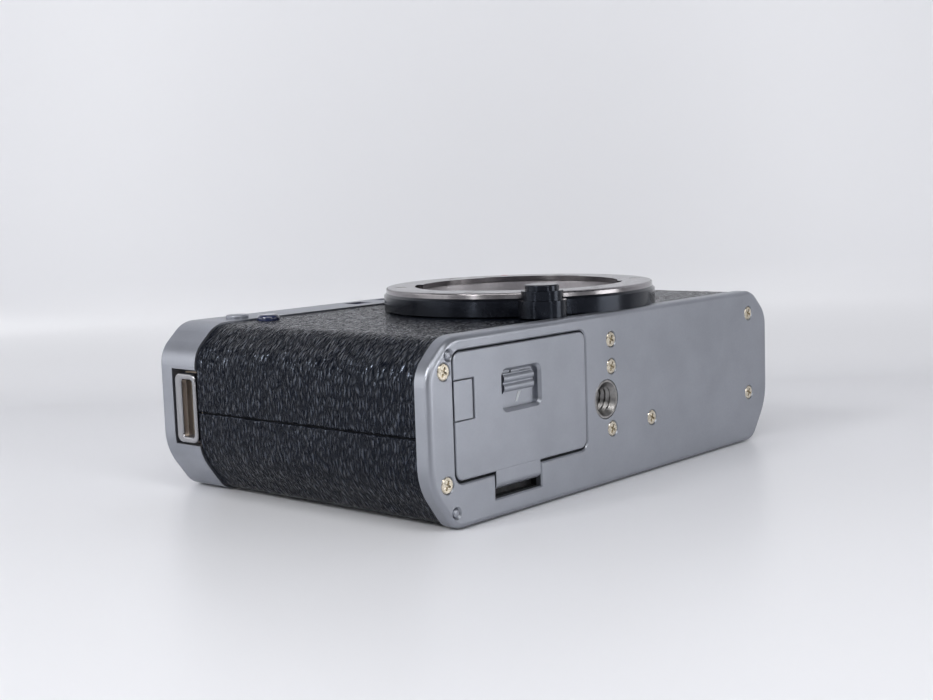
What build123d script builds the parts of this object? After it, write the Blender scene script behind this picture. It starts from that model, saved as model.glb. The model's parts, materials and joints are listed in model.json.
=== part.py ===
"""35 mm film camera body, lens removed, lying on its back.

Frame: +X runs from the grip end to the rewind end, +Y is the camera's own up direction (base to top),
+Z is the way the lens looks. The camera lies on its back on z = 0, and the origin is the centre of the
footprint. Sizes are in millimetres.
"""
from build123d import *
from math import cos, radians, sin
import os

# ---- driving dimensions ---------------------------------------------------------------------------
WIDTH = 118.6            # grip end to rewind end
DEPTH = 35.0             # back to front of the plates, without the lens mount
COVER_HEIGHT = 76.1      # base face to the deck of the top cover
SHOE_TOP_HEIGHT = 83.0   # base face to the top of the accessory shoe
BASE_RIM = 3.25          # height of the base cover's side wall
TOP_COVER_START = 64.5   # where the top cover begins above the base face
SEAM_Z = 17.2            # parting line between the front casting and the back door
FRONT_CHAMFER = (6.1, 5.6)   # run along x, run along z
BACK_CHAMFER = (6.4, 8.6)
FRONT_CORNER_RADIUS = 6.5    # rounding at both ends of the front chamfers
BACK_SIDE_RADIUS = 12.0      # rounding between the ends and the back chamfers
BACK_CORNER_RADIUS = 4.4     # rounding between the back chamfers and the back
SHEET = 1.2              # wall of the base and top covers
BASE_EDGE = 1.1          # rounding round the base face
FLOOR = 1.4              # floor of the base cover and thickness of the battery door
SKIN_RECESS = 0.3        # leatherette lies this far inside the covers' outline
SKIN = 1.0               # leatherette thickness
CASTING_INSET = SKIN_RECESS + SKIN
CASTING_WALL = 1.6
GAP = 0.25               # visible gap round doors and flaps
RUN = 0.06               # radial clearance of a running fit
LEFT = -WIDTH / 2
RIGHT = WIDTH / 2
BASE = -SHOE_TOP_HEIGHT / 2

# ---- lens mount -----------------------------------------------------------------------------------
LENS_X = LEFT + 63.7
LENS_Y = BASE + 30.6
MOUNT_RADIUS = 29.75
MOUNT_HEIGHT = 3.6
FLANGE_RADIUS = 29.2
FLANGE_THICKNESS = 1.15
THROAT_RADIUS = 22.9
CLAW_RADIUS = 21.7
SPIGOT_RADIUS = 25.9
FLANGE_Z = DEPTH + MOUNT_HEIGHT + FLANGE_THICKNESS
LINER_START = 22.5
FILM_Z = FLANGE_Z - 29.0     # film plane, one register distance behind the flange
RELEASE_X = LEFT + 42.3
RELEASE_Y = BASE + 7.4
BOSS_RADIUS = 4.9
BOSS_HEIGHT = 3.4
BUTTON_RADIUS = 4.2
BUTTON_CAP_RADIUS = 3.4
BUTTON_STEP_Z = DEPTH + 5.3
BUTTON_TOP_Z = DEPTH + 6.5
LOCK_PIN_RADIUS = 0.9
LOCK_PIN_ANGLE = 227.0
SCREW_CIRCLE = 26.0

# ---- film path ------------------------------------------------------------------------------------
GATE_WIDTH = 36.0
GATE_HEIGHT = 24.0
FILM_WIDTH = 35.0
SPOOL_X = LEFT + 19.0
SPOOL_Z = 18.2
CASSETTE_X = LEFT + 102.2
CASSETTE_Z = 18.0
SPROCKET_X = LEFT + 37.4
SPROCKET_RADIUS = 4.6
SPROCKET_Z = FILM_Z + SPROCKET_RADIUS
CHAMBER_TOP = BASE + 61.0
TAKE_UP_FLOOR = BASE + 12.6
CASSETTE_FLOOR = BASE + 5.0
SHUTTER_LEFT = LEFT + 44.0
SHUTTER_RIGHT = LEFT + 86.9
SHUTTER_BOTTOM = BASE + 7.2
SHUTTER_TOP = BASE + 57.6

# ---- base -----------------------------------------------------------------------------------------
DOOR_X = (LEFT + 6.8, LEFT + 46.1)
DOOR_Z = (8.8, 32.1)
DOOR_RADIUS = 1.8
DOOR_HINGE_GAP = 0.5
RIM_BREAK = 0.28         # broken edge round the door opening
NOTCH_X = (LEFT + 17.5, LEFT + 31.2)
NOTCH_Z = 3.7
DOOR_PIVOT_Y = BASE + 1.35
DOOR_PIVOT_Z = 6.6
KNUCKLE_RADIUS = 1.32
LATCH_X = (LEFT + 20.5, LEFT + 31.4)
LATCH_Z = (19.9, 27.1)
LATCH_PAN = 2.5
LATCH_FLOOR = 1.4
LATCH_BEVEL = 0.55
STEM_X = (LATCH_X[0] + 3.7, LATCH_X[0] + 6.5)
DOOR_EDGE = 0.3
FLAP_X = LEFT + 12.2
FLAP_Z = (19.8, 26.9)
FLAP_THICKNESS = 1.2
TRIPOD_X = LEFT + 53.0
TRIPOD_Z = 17.5
TRIPOD_RADIUS = 2.6
TRIPOD_COLLAR = 4.0
TRIPOD_LENGTH = 5.2
CELL_X = LEFT + 26.0
CELL_Z = 21.0
CELL_RADIUS = 8.0
CELL_THICKNESS = 3.2
SCREW_SPOTS = [
    (LEFT + 4.3, 28.95), (LEFT + 4.3, 8.65),
    (LEFT + 55.1, 29.5), (LEFT + 55.1, 24.0), (LEFT + 55.1, 11.2), (LEFT + 69.5, 11.4),
    (LEFT + 110.1, 29.9), (LEFT + 110.1, 11.4),
]
SCREW_HEAD = 1.52
PIN_SPOTS = [(LEFT + 5.66, 31.75), (LEFT + 6.5, 3.2)]
PIN_RADIUS = 0.8

# ---- top ------------------------------------------------------------------------------------------
DECK = BASE + COVER_HEIGHT
HOUSING_X = (LEFT + 47.0, LEFT + 91.5)
HOUSING_Z = (1.6, 33.4)
HOUSING_TOP = BASE + 79.5
DIAL_X = LEFT + 38.0
DIAL_Z = 22.0
DIAL_RADIUS = 6.5
TRIGGER_X = LEFT + 27.5
TRIGGER_Z = 27.6
COUNTER_X = LEFT + 9.6
COUNTER_Z = 20.0
SHOE_TOP = BASE + SHOE_TOP_HEIGHT
LUG_Y = (BASE + 64.9, BASE + 71.6)
LUG_Z = (10.5, 25.0)
LUG_RECESS = 3.4
LUG_PLATE = 0.5
LUG_BAR = 2.05           # bar of the strap loop nearest the deck
LUG_RAIL = 1.1           # its other bar, nearest the base
LUG_END = 1.3            # the two ends of the loop
LAMP_RADIUS = 2.35
LOCK_CAP = 2.4           # exposure lock button on the front
LOCK_STEM = 1.5
LOCK_SINK = 0.7

# ---- back door ------------------------------------------------------------------------------------
HINGE_X = RIGHT - 1.6
HINGE_RADIUS = 1.6
HINGE_RELIEF = 1.9
HINGE_PIN = 0.7
KNUCKLE_Y = (BASE + 18.0, BASE + 50.0)
DOOR_BOTTOM = BASE + BASE_RIM + 0.1
DOOR_TOP = BASE + TOP_COVER_START - 0.1
PLATE_Z = (FILM_Z - 1.5, FILM_Z - 0.3)

os.makedirs("parts", exist_ok=True)


def save(builder, name):
    """Label a finished piece and write its STEP file."""
    builder.part.label = name
    export_step(builder.part, f"parts/{name}.step")


def level(y):
    """Plane across the camera at height y, drawn in x and z; a negative extrude goes up."""
    return Plane.XZ.offset(-y)


def plan(inset=0.0, low=-1.0, high=DEPTH + 1.0):
    """Eight-sided plan of the body, inset all round and kept between two depths."""
    fx, fz = FRONT_CHAMFER
    bx, bz = BACK_CHAMFER
    corners = [
        (LEFT + bx, 0), (RIGHT - bx, 0), (RIGHT, bz), (RIGHT, DEPTH - fz),
        (RIGHT - fx, DEPTH), (LEFT + fx, DEPTH), (LEFT, DEPTH - fz), (LEFT, bz),
    ]
    radii = [BACK_CORNER_RADIUS] * 2 + [BACK_SIDE_RADIUS] + [FRONT_CORNER_RADIUS] * 4 + [BACK_SIDE_RADIUS]
    with BuildSketch(mode=Mode.PRIVATE) as shape:
        with BuildLine():
            FilletPolyline(*corners, radius=radii, close=True)
        make_face()
        if inset:
            offset(amount=-inset)
        with Locations((0, (low + high) / 2)):
            Rectangle(WIDTH + 2, high - low, mode=Mode.INTERSECT)
    return shape.sketch


def slab(y0, y1, inset=0.0, low=-1.0, high=DEPTH + 1.0, mode=Mode.ADD):
    """Extrude the body's plan from height y0 to y1."""
    with BuildSketch(level(y0), mode=Mode.PRIVATE) as footprint:
        add(plan(inset, low, high))
    extrude(footprint.sketch, amount=y0 - y1, mode=mode)


def block(x, y, z, mode=Mode.ADD):
    """Box between two x, two y and two z values."""
    with Locations(((x[0] + x[1]) / 2, (y[0] + y[1]) / 2, (z[0] + z[1]) / 2)):
        Box(x[1] - x[0], y[1] - y[0], z[1] - z[0], mode=mode)


def rod_y(x, z, radius, y0, y1, mode=Mode.ADD):
    """Upright cylinder, along the camera's own up direction."""
    with Locations(Location((x, (y0 + y1) / 2, z), (90, 0, 0))):
        Cylinder(radius, y1 - y0, mode=mode)


def rod_z(x, y, radius, z0, z1, mode=Mode.ADD):
    """Cylinder along the lens direction."""
    with Locations((x, y, (z0 + z1) / 2)):
        Cylinder(radius, z1 - z0, mode=mode)


def rod_x(y, z, radius, x0, x1, mode=Mode.ADD):
    """Cylinder along the camera's width."""
    with Locations(Location(((x0 + x1) / 2, y, z), (0, 90, 0))):
        Cylinder(radius, x1 - x0, mode=mode)


def on_mount(radius, degrees):
    """Point on a circle about the lens axis."""
    return (LENS_X + radius * cos(radians(degrees)), LENS_Y + radius * sin(radians(degrees)))


LOCK_PIN = on_mount(SPIGOT_RADIUS, LOCK_PIN_ANGLE)


# ==== base =========================================================================================
with BuildPart() as base_cover:
    slab(BASE, BASE + BASE_RIM)
    fillet(base_cover.faces().sort_by(Axis.Y)[0].edges(), BASE_EDGE)
    slab(BASE + FLOOR, BASE + BASE_RIM, inset=SHEET, mode=Mode.SUBTRACT)
    with BuildSketch(level(BASE)):
        opening_z = (DOOR_Z[0] - DOOR_HINGE_GAP, DOOR_Z[1] + GAP)
        with Locations(((DOOR_X[0] + DOOR_X[1]) / 2, sum(opening_z) / 2)):
            RectangleRounded(DOOR_X[1] - DOOR_X[0] + 2 * GAP, opening_z[1] - opening_z[0],
                             DOOR_RADIUS + GAP)
        with Locations((sum(NOTCH_X) / 2, (NOTCH_Z + DOOR_Z[0] + 1) / 2)):
            Rectangle(NOTCH_X[1] - NOTCH_X[0], DOOR_Z[0] + 1 - NOTCH_Z)
    extrude(amount=-FLOOR, mode=Mode.SUBTRACT)
    chamfer(base_cover.faces().sort_by(Axis.Y)[0].inner_wires().edges(), RIM_BREAK)
    block((NOTCH_X[0] - 1.6, NOTCH_X[1] + 1.6), (DOOR_PIVOT_Y - 0.55, BASE + BASE_RIM),
          (DOOR_PIVOT_Z - 0.55, DOOR_PIVOT_Z + 0.55), mode=Mode.SUBTRACT)
    for spot_x, spot_z in SCREW_SPOTS:
        rod_y(spot_x, spot_z, SCREW_HEAD + 0.06, BASE - 1, BASE + 0.9, mode=Mode.SUBTRACT)
        with Locations(Location((spot_x, BASE + 0.09, spot_z), (90, 0, 0))):
            Cone(SCREW_HEAD + 0.06, SCREW_HEAD + 0.24, 0.18, mode=Mode.SUBTRACT)
        rod_y(spot_x, spot_z, 1.0, BASE, BASE + FLOOR, mode=Mode.SUBTRACT)
    for spot_x, spot_z in PIN_SPOTS:
        rod_y(spot_x, spot_z, PIN_RADIUS + 0.05, BASE - 1, BASE + BASE_RIM, mode=Mode.SUBTRACT)
        with Locations(Location((spot_x, BASE + 0.2, spot_z), (90, 0, 0))):
            Cone(PIN_RADIUS + 0.05, PIN_RADIUS + 0.45, 0.4, mode=Mode.SUBTRACT)
    rod_y(TRIPOD_X, TRIPOD_Z, TRIPOD_COLLAR + 0.05, BASE - 1, BASE + FLOOR, mode=Mode.SUBTRACT)
save(base_cover, "base_cover")

with BuildPart() as base_screws:
    for spot_x, spot_z in SCREW_SPOTS:
        rod_y(spot_x, spot_z, SCREW_HEAD, BASE + 0.06, BASE + 0.86)
        rod_y(spot_x, spot_z, 0.9, BASE + 0.86, BASE + 3.0)
    chamfer(base_screws.faces().filter_by(Axis.Y).group_by(Axis.Y)[0].edges(), 0.15)
    for spot_x, spot_z in SCREW_SPOTS:
        for turn in (25, 115):
            with Locations(Location((spot_x, BASE + 0.26, spot_z), (0, turn, 0))):
                Box(1.9, 0.5, 0.42, mode=Mode.SUBTRACT)
save(base_screws, "base_screws")

with BuildPart() as base_locating_pins:
    for spot_x, spot_z in PIN_SPOTS:
        rod_y(spot_x, spot_z, PIN_RADIUS, BASE, BASE + 1.45)
    fillet(base_locating_pins.faces().filter_by(Axis.Y).group_by(Axis.Y)[0].edges(), 0.45)
save(base_locating_pins, "base_locating_pins")

with BuildPart() as tripod_socket:
    rod_y(TRIPOD_X, TRIPOD_Z, TRIPOD_COLLAR, BASE + 0.05, BASE + TRIPOD_LENGTH)
    rod_y(TRIPOD_X, TRIPOD_Z, TRIPOD_RADIUS, BASE - 1, BASE + TRIPOD_LENGTH + 1, mode=Mode.SUBTRACT)
    mouth = tripod_socket.edges().filter_by(GeomType.CIRCLE).group_by(Axis.Y)[0].sort_by(SortBy.RADIUS)[0]
    chamfer(mouth, 0.9)
save(tripod_socket, "tripod_socket")

# ---- battery door, hinged at the edge nearest the back ---------------------------------------------
with BuildPart() as battery_door:
    with BuildSketch(level(BASE)):
        with Locations((sum(DOOR_X) / 2, sum(DOOR_Z) / 2)):
            RectangleRounded(DOOR_X[1] - DOOR_X[0], DOOR_Z[1] - DOOR_Z[0], DOOR_RADIUS)
    extrude(amount=-FLOOR)
    # thumb recess for the latch, bevelled towards its floor
    recess_size = (LATCH_X[1] - LATCH_X[0], LATCH_Z[1] - LATCH_Z[0])
    pan_x = (LATCH_X[0] - 1.0, LATCH_X[1] + 1.0)
    block(pan_x, (BASE + 1.0, BASE + LATCH_PAN), (LATCH_Z[0] - 1.0, LATCH_Z[1] + 1.0))
    with BuildSketch(level(BASE)):
        with Locations((sum(LATCH_X) / 2, sum(LATCH_Z) / 2)):
            RectangleRounded(*recess_size, 1.1)
    extrude(amount=-LATCH_FLOOR, mode=Mode.SUBTRACT)
    flap_bay = (FLAP_Z[0] - 0.12, FLAP_Z[1] + 0.12)
    block((DOOR_X[0] - 1, FLAP_X + 0.15), (BASE - 1, BASE + 3), flap_bay, mode=Mode.SUBTRACT)
    chamfer(battery_door.faces().sort_by(Axis.Y)[0].inner_wires().edges(), LATCH_BEVEL)
    fillet(battery_door.faces().sort_by(Axis.Y)[0].outer_wire().edges(), DOOR_EDGE)
    # slot through the recess floor for the latch's stem
    block((STEM_X[0] - 0.1, STEM_X[1] + 0.1), (BASE, BASE + 3), (LATCH_Z[1] - 4.4, LATCH_Z[1] - 0.1),
          mode=Mode.SUBTRACT)
    # hinge tab, level with the face, that curves away into the knuckle
    tab_x = (NOTCH_X[0] + GAP, NOTCH_X[1] - GAP)
    block(tab_x, (BASE + 0.03, BASE + FLOOR), (DOOR_PIVOT_Z, DOOR_Z[0] + DOOR_EDGE))
    rod_x(DOOR_PIVOT_Y, DOOR_PIVOT_Z, KNUCKLE_RADIUS, tab_x[0], tab_x[1])
    rod_x(DOOR_PIVOT_Y, DOOR_PIVOT_Z, 0.5 + RUN, tab_x[0], tab_x[1], mode=Mode.SUBTRACT)
save(battery_door, "battery_door")

with BuildPart() as battery_door_pin:
    rod_x(DOOR_PIVOT_Y, DOOR_PIVOT_Z, 0.5, NOTCH_X[0] - 1.5, NOTCH_X[1] + 1.5)
save(battery_door_pin, "battery_door_pin")

with BuildPart() as battery_latch:
    slider_z = (LATCH_Z[1] - 4.3, LATCH_Z[1] - 0.62)
    slider_x = (LATCH_X[0] + 0.62, LATCH_X[1] - 1.45)
    for ridge in (1.0, 2.75):
        rod_x(BASE + 1.15, slider_z[0] + ridge, 0.92, slider_x[0], slider_x[1])
    block((slider_x[0], slider_x[1]), (BASE + 0.62, BASE + 1.3), slider_z)
    block((slider_x[0] - 1, slider_x[1] + 1), (BASE + 1.33, BASE + 3), slider_z, mode=Mode.SUBTRACT)
    block(STEM_X, (BASE + 1.2, BASE + LATCH_PAN + 0.1), (LATCH_Z[1] - 1.7, LATCH_Z[1] - 0.2))
    block((STEM_X[0] - 1.0, STEM_X[1] + 1.0), (BASE + LATCH_PAN + 0.08, BASE + LATCH_PAN + 0.5),
          (LATCH_Z[1] - 3.8, DOOR_Z[1] - 0.3))
save(battery_latch, "battery_latch")

with BuildPart() as cable_flap:
    flap_pin_x = FLAP_X - FLAP_THICKNESS / 2
    flap_pin_y = BASE + FLAP_THICKNESS / 2
    block((DOOR_X[0], flap_pin_x), (BASE, BASE + FLAP_THICKNESS), FLAP_Z)
    rod_z(flap_pin_x, flap_pin_y, FLAP_THICKNESS / 2, FLAP_Z[0], FLAP_Z[1])
save(cable_flap, "cable_flap")

with BuildPart() as coin_cells:
    cell_start = BASE + 3.3
    for number in (0, 1):
        low = cell_start + number * CELL_THICKNESS
        rod_y(CELL_X, CELL_Z, CELL_RADIUS, low + 0.35, low + CELL_THICKNESS - 0.02)
        rod_y(CELL_X, CELL_Z, CELL_RADIUS - 1.0, low, low + 0.4)
save(coin_cells, "coin_cells")

with BuildPart() as battery_contacts:
    contact_low = cell_start + 2 * CELL_THICKNESS + 0.02
    block((CELL_X - 2, CELL_X + 2), (contact_low, contact_low + 0.35), (CELL_Z - 6, CELL_Z + 6))
    block((CELL_X + CELL_RADIUS + 0.05, CELL_X + CELL_RADIUS + 0.4), (BASE + 4, BASE + 9),
          (CELL_Z - 2, CELL_Z + 2))
save(battery_contacts, "battery_contacts")

# ==== die-cast chassis =============================================================================
with BuildPart() as chassis:
    casting_top = BASE + TOP_COVER_START + 2.0
    slab(BASE + FLOOR, BASE + BASE_RIM, inset=CASTING_INSET)
    slab(BASE + BASE_RIM, DOOR_TOP + 0.1, inset=CASTING_INSET, low=SEAM_Z)
    slab(BASE + BASE_RIM, DOOR_TOP + 0.1, inset=CASTING_INSET + CASTING_WALL + 0.5,
         low=FILM_Z, high=SEAM_Z + 1)
    slab(DOOR_TOP + 0.1, casting_top, inset=CASTING_INSET)
    # take-up chamber and sprocket chamber, open to the back
    take_up = SPOOL_X - 12.6, SPOOL_X + 12.6
    rod_y(SPOOL_X, SPOOL_Z, 12.6, TAKE_UP_FLOOR, CHAMBER_TOP, mode=Mode.SUBTRACT)
    block(take_up, (TAKE_UP_FLOOR, CHAMBER_TOP), (0, SPOOL_Z), mode=Mode.SUBTRACT)
    block((SPOOL_X + 8, LEFT + 43.3), (TAKE_UP_FLOOR, CHAMBER_TOP), (0, SPROCKET_Z + 6.1),
          mode=Mode.SUBTRACT)
    # cassette chamber, open to the back
    rod_y(CASSETTE_X, CASSETTE_Z, 13.1, CASSETTE_FLOOR, CHAMBER_TOP, mode=Mode.SUBTRACT)
    block((CASSETTE_X - 13.1, CASSETTE_X + 13.1), (CASSETTE_FLOOR, CHAMBER_TOP), (0, CASSETTE_Z),
          mode=Mode.SUBTRACT)
    # shutter bay and mount opening, open to the front
    block((SHUTTER_LEFT, SHUTTER_RIGHT), (SHUTTER_BOTTOM, SHUTTER_TOP), (FILM_Z + 1.4, 31.7),
          mode=Mode.SUBTRACT)
    rod_z(LENS_X, LENS_Y, SPIGOT_RADIUS + 0.02, 31.0, DEPTH, mode=Mode.SUBTRACT)
    rod_z(LENS_X, LENS_Y, SPIGOT_RADIUS - 1.0, LINER_START - 0.1, DEPTH, mode=Mode.SUBTRACT)
    # film gate and a sunk film track between the two pairs of rails
    block((LENS_X - GATE_WIDTH / 2, LENS_X + GATE_WIDTH / 2),
          (LENS_Y - GATE_HEIGHT / 2, LENS_Y + GATE_HEIGHT / 2), (FILM_Z - 1, FILM_Z + 2), mode=Mode.SUBTRACT)
    for side in (-1, 1):
        rail_gap = sorted((LENS_Y + side * (GATE_HEIGHT / 2 + 1.2), LENS_Y + side * (FILM_WIDTH / 2 + 0.2)))
        block((LEFT + 43.3, LEFT + 89.2), rail_gap, (FILM_Z - 1, FILM_Z + 0.3), mode=Mode.SUBTRACT)
    # battery well, door recess and hinge pocket
    rod_y(CELL_X, CELL_Z, CELL_RADIUS + 0.5, BASE, cell_start + 2 * CELL_THICKNESS + 0.5, mode=Mode.SUBTRACT)
    for pocket_x, pocket_depth, pocket_z in (
            ((DOOR_X[0] - 0.5, DOOR_X[1] + 0.5), 1.6, (DOOR_Z[0] - 0.6, DOOR_Z[1] + 0.5)),
            ((LATCH_X[0] - 1.6, LATCH_X[1] + 1.6), 3.2, (LATCH_Z[0] - 4.0, DOOR_Z[1] + 0.5)),
            ((NOTCH_X[0] - 0.2, NOTCH_X[1] + 0.2), 2.85, (NOTCH_Z, DOOR_Z[0] + 0.6)),
            ((NOTCH_X[0] - 1.6, NOTCH_X[1] + 1.6), 1.9, (DOOR_PIVOT_Z - 0.55, DOOR_PIVOT_Z + 0.55)),
            ((CELL_X + CELL_RADIUS, CELL_X + CELL_RADIUS + 0.6), 9.1, (CELL_Z - 2.1, CELL_Z + 2.1))):
        block(pocket_x, (BASE, BASE + pocket_depth), pocket_z, mode=Mode.SUBTRACT)
    # sockets for screws, pins and the tripod bush
    for spot_x, spot_z in SCREW_SPOTS:
        rod_y(spot_x, spot_z, 0.95, BASE, BASE + 3.1, mode=Mode.SUBTRACT)
    for spot_x, spot_z in PIN_SPOTS:
        rod_y(spot_x, spot_z, PIN_RADIUS + 0.02, BASE, BASE + 1.5, mode=Mode.SUBTRACT)
    rod_y(TRIPOD_X, TRIPOD_Z, TRIPOD_COLLAR + 0.02, BASE, BASE + TRIPOD_LENGTH + 0.05, mode=Mode.SUBTRACT)
    # bearings in the top wall
    rod_y(SPOOL_X, SPOOL_Z, 2.0 + RUN, CHAMBER_TOP - 1, casting_top + 1, mode=Mode.SUBTRACT)
    rod_y(SPROCKET_X, SPROCKET_Z, 1.5 + RUN, CHAMBER_TOP - 1, casting_top + 1, mode=Mode.SUBTRACT)
    rod_y(CASSETTE_X, CASSETTE_Z, 1.6 + RUN, CHAMBER_TOP - 1, casting_top + 1, mode=Mode.SUBTRACT)
    # clear of the strap recesses of the top cover
    for end in (LEFT, RIGHT - LUG_RECESS - 1.4):
        block((end, end + LUG_RECESS + 1.4), (DOOR_TOP + 0.1, casting_top + 1),
              (LUG_Z[0] - 1.6, LUG_Z[1] + 3.1), mode=Mode.SUBTRACT)
    # hinge for the back door
    rod_y(HINGE_X, SEAM_Z, HINGE_RELIEF, BASE + BASE_RIM, DOOR_TOP + 0.1, mode=Mode.SUBTRACT)
    block((HINGE_X, RIGHT), (BASE + BASE_RIM, DOOR_TOP + 0.1),
          (SEAM_Z - HINGE_RELIEF, SEAM_Z + HINGE_RELIEF), mode=Mode.SUBTRACT)
    for low, high in ((DOOR_BOTTOM, KNUCKLE_Y[0] - 0.1), (KNUCKLE_Y[1] + 0.1, DOOR_TOP)):
        rod_y(HINGE_X, SEAM_Z, HINGE_RADIUS, low, high)
        block((HINGE_X - HINGE_RADIUS, RIGHT - CASTING_INSET), (low, high), (SEAM_Z, SEAM_Z + 2.4))
    rod_y(HINGE_X, SEAM_Z, HINGE_PIN + 0.02, BASE + BASE_RIM, DOOR_TOP + 0.1, mode=Mode.SUBTRACT)
    # bores behind the mount, the release button and the front lamp
    lamp = (LEFT + 17.6, BASE + 61.3)
    rod_z(*lamp, 1.2, 31.0, DEPTH, mode=Mode.SUBTRACT)
save(chassis, "chassis")

with BuildPart() as back_hinge_pin:
    rod_y(HINGE_X, SEAM_Z, HINGE_PIN, DOOR_BOTTOM, DOOR_TOP)
save(back_hinge_pin, "back_hinge_pin")

with BuildPart() as front_leatherette:
    slab(BASE + BASE_RIM, DOOR_TOP + 0.1, inset=SKIN_RECESS, low=SEAM_Z + 0.1)
    slab(BASE + BASE_RIM, DOOR_TOP + 0.1, inset=CASTING_INSET, low=SEAM_Z - 1, mode=Mode.SUBTRACT)
    rod_z(LENS_X, LENS_Y, SPIGOT_RADIUS + 0.1, 31, DEPTH + 1, mode=Mode.SUBTRACT)
    rod_z(*lamp, LAMP_RADIUS + 0.1, 31, DEPTH + 1, mode=Mode.SUBTRACT)
    block((HINGE_X - 3, RIGHT), (BASE, DOOR_TOP + 1), (0, SEAM_Z + HINGE_RELIEF), mode=Mode.SUBTRACT)
save(front_leatherette, "front_leatherette")

with BuildPart() as self_timer_lamp:
    rod_z(*lamp, LAMP_RADIUS, DEPTH - CASTING_INSET, DEPTH + 0.9)
    fillet(self_timer_lamp.faces().sort_by(Axis.Z)[-1].edges(), 0.85)
    rod_z(*lamp, 1.15, 31.2, DEPTH - CASTING_INSET)
save(self_timer_lamp, "self_timer_lamp")

# ==== back door ====================================================================================
catch = (LEFT + 13.5, BASE + 34.0)
with BuildPart() as back_door:
    slab(DOOR_BOTTOM, DOOR_TOP, inset=CASTING_INSET, high=SEAM_Z - 0.1)
    slab(DOOR_BOTTOM, DOOR_TOP, inset=CASTING_INSET + CASTING_WALL, high=SEAM_Z, mode=Mode.SUBTRACT)
    rod_y(HINGE_X, SEAM_Z, HINGE_RELIEF, DOOR_BOTTOM, DOOR_TOP, mode=Mode.SUBTRACT)
    block((HINGE_X - 2.0, RIGHT), (DOOR_BOTTOM, DOOR_TOP), (SEAM_Z - HINGE_RELIEF, SEAM_Z + 1),
          mode=Mode.SUBTRACT)
    rod_y(HINGE_X, SEAM_Z, HINGE_RADIUS, *KNUCKLE_Y)
    block((HINGE_X - HINGE_RADIUS + 0.3, RIGHT - CASTING_INSET), KNUCKLE_Y, (SEAM_Z - 2.4, SEAM_Z))
    rod_y(HINGE_X, SEAM_Z, HINGE_PIN + RUN, DOOR_BOTTOM, DOOR_TOP, mode=Mode.SUBTRACT)
    # guide posts for the pressure plate
    for post_x in (LENS_X - 16.0, LENS_X + 16.0):
        for post_y in (LENS_Y - 14.8, LENS_Y + 14.8):
            rod_z(post_x, post_y, 1.0, CASTING_INSET + CASTING_WALL - 0.1, PLATE_Z[0] + 0.6)
    # window on the cassette's label, and the slot of the catch
    block((CASSETTE_X - 2.5, CASSETTE_X + 2.5), (BASE + 22, BASE + 44), (0, 4), mode=Mode.SUBTRACT)
    block((catch[0] - 3.0, catch[0] + 6.0), (catch[1] - 3.0, catch[1] + 3.0), (0, 4), mode=Mode.SUBTRACT)
save(back_door, "back_door")

with BuildPart() as back_leatherette:
    slab(DOOR_BOTTOM, DOOR_TOP, inset=SKIN_RECESS, high=SEAM_Z - 0.1)
    slab(DOOR_BOTTOM, DOOR_TOP, inset=CASTING_INSET, high=SEAM_Z, mode=Mode.SUBTRACT)
    block((CASSETTE_X - 3.2, CASSETTE_X + 3.2), (BASE + 21.3, BASE + 44.7), (-1, 4), mode=Mode.SUBTRACT)
    block((catch[0] - 4.5, catch[0] + 7.5), (catch[1] - 5.5, catch[1] + 5.5), (-1, 4), mode=Mode.SUBTRACT)
    block((HINGE_X - 3, RIGHT), (BASE, DOOR_TOP + 1), (SEAM_Z - HINGE_RELIEF, SEAM_Z + 1),
          mode=Mode.SUBTRACT)
save(back_leatherette, "back_leatherette")

with BuildPart() as cassette_window:
    block((CASSETTE_X - 2.45, CASSETTE_X + 2.45), (BASE + 22.05, BASE + 43.95), (0.5, 2.6))
    block((CASSETTE_X - 3.1, CASSETTE_X + 3.1), (BASE + 21.4, BASE + 44.6), (0.4, CASTING_INSET))
    fillet(cassette_window.faces().sort_by(Axis.Z)[0].edges(), 0.3)
save(cassette_window, "cassette_window")

with BuildPart() as back_catch:
    block((catch[0] - 4.3, catch[0] + 4.3), (catch[1] - 5.2, catch[1] + 5.2), (0.45, CASTING_INSET - 0.08))
    for ridge in range(-2, 3):
        ridge_x = catch[0] + ridge * 1.5
        block((ridge_x - 0.4, ridge_x + 0.4), (catch[1] - 4.4, catch[1] + 4.4), (0.1, 0.5))
    block((catch[0] - 2.9, catch[0] + 2.9), (catch[1] - 2.9, catch[1] + 2.9), (1.1, 3.1))
    block((LEFT + 9.0, catch[0] + 3.5), (catch[1] - 3.8, catch[1] + 3.8), (3.02, 3.8))
    block((LEFT + 9.0, LEFT + 9.8), (catch[1] - 3.8, catch[1] + 3.8), (3.1, 9.0))
save(back_catch, "back_catch")

with BuildPart() as pressure_plate:
    block((LENS_X - 19.8, LENS_X + 19.8), (LENS_Y - 17.2, LENS_Y + 17.2), PLATE_Z)
    fillet(pressure_plate.edges().filter_by(Axis.Z), 2.0)
    for post_x in (LENS_X - 16.0, LENS_X + 16.0):
        for post_y in (LENS_Y - 14.8, LENS_Y + 14.8):
            rod_z(post_x, post_y, 1.0 + RUN, 0, FILM_Z + 1, mode=Mode.SUBTRACT)
save(pressure_plate, "pressure_plate")

with BuildPart() as pressure_spring:
    spring_z = (CASTING_INSET + CASTING_WALL, PLATE_Z[0])
    for spring_y in (LENS_Y - 8, LENS_Y + 8):
        with BuildSketch(level(spring_y - 2.5)):
            with BuildLine():
                bow = ThreePointArc((LENS_X - 15, spring_z[0] + 0.15), (LENS_X, spring_z[1] - 0.35),
                                    (LENS_X + 15, spring_z[0] + 0.15))
                offset(bow, amount=0.14, side=Side.BOTH)
            make_face()
        extrude(amount=-5.0)
save(pressure_spring, "pressure_spring")

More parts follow.
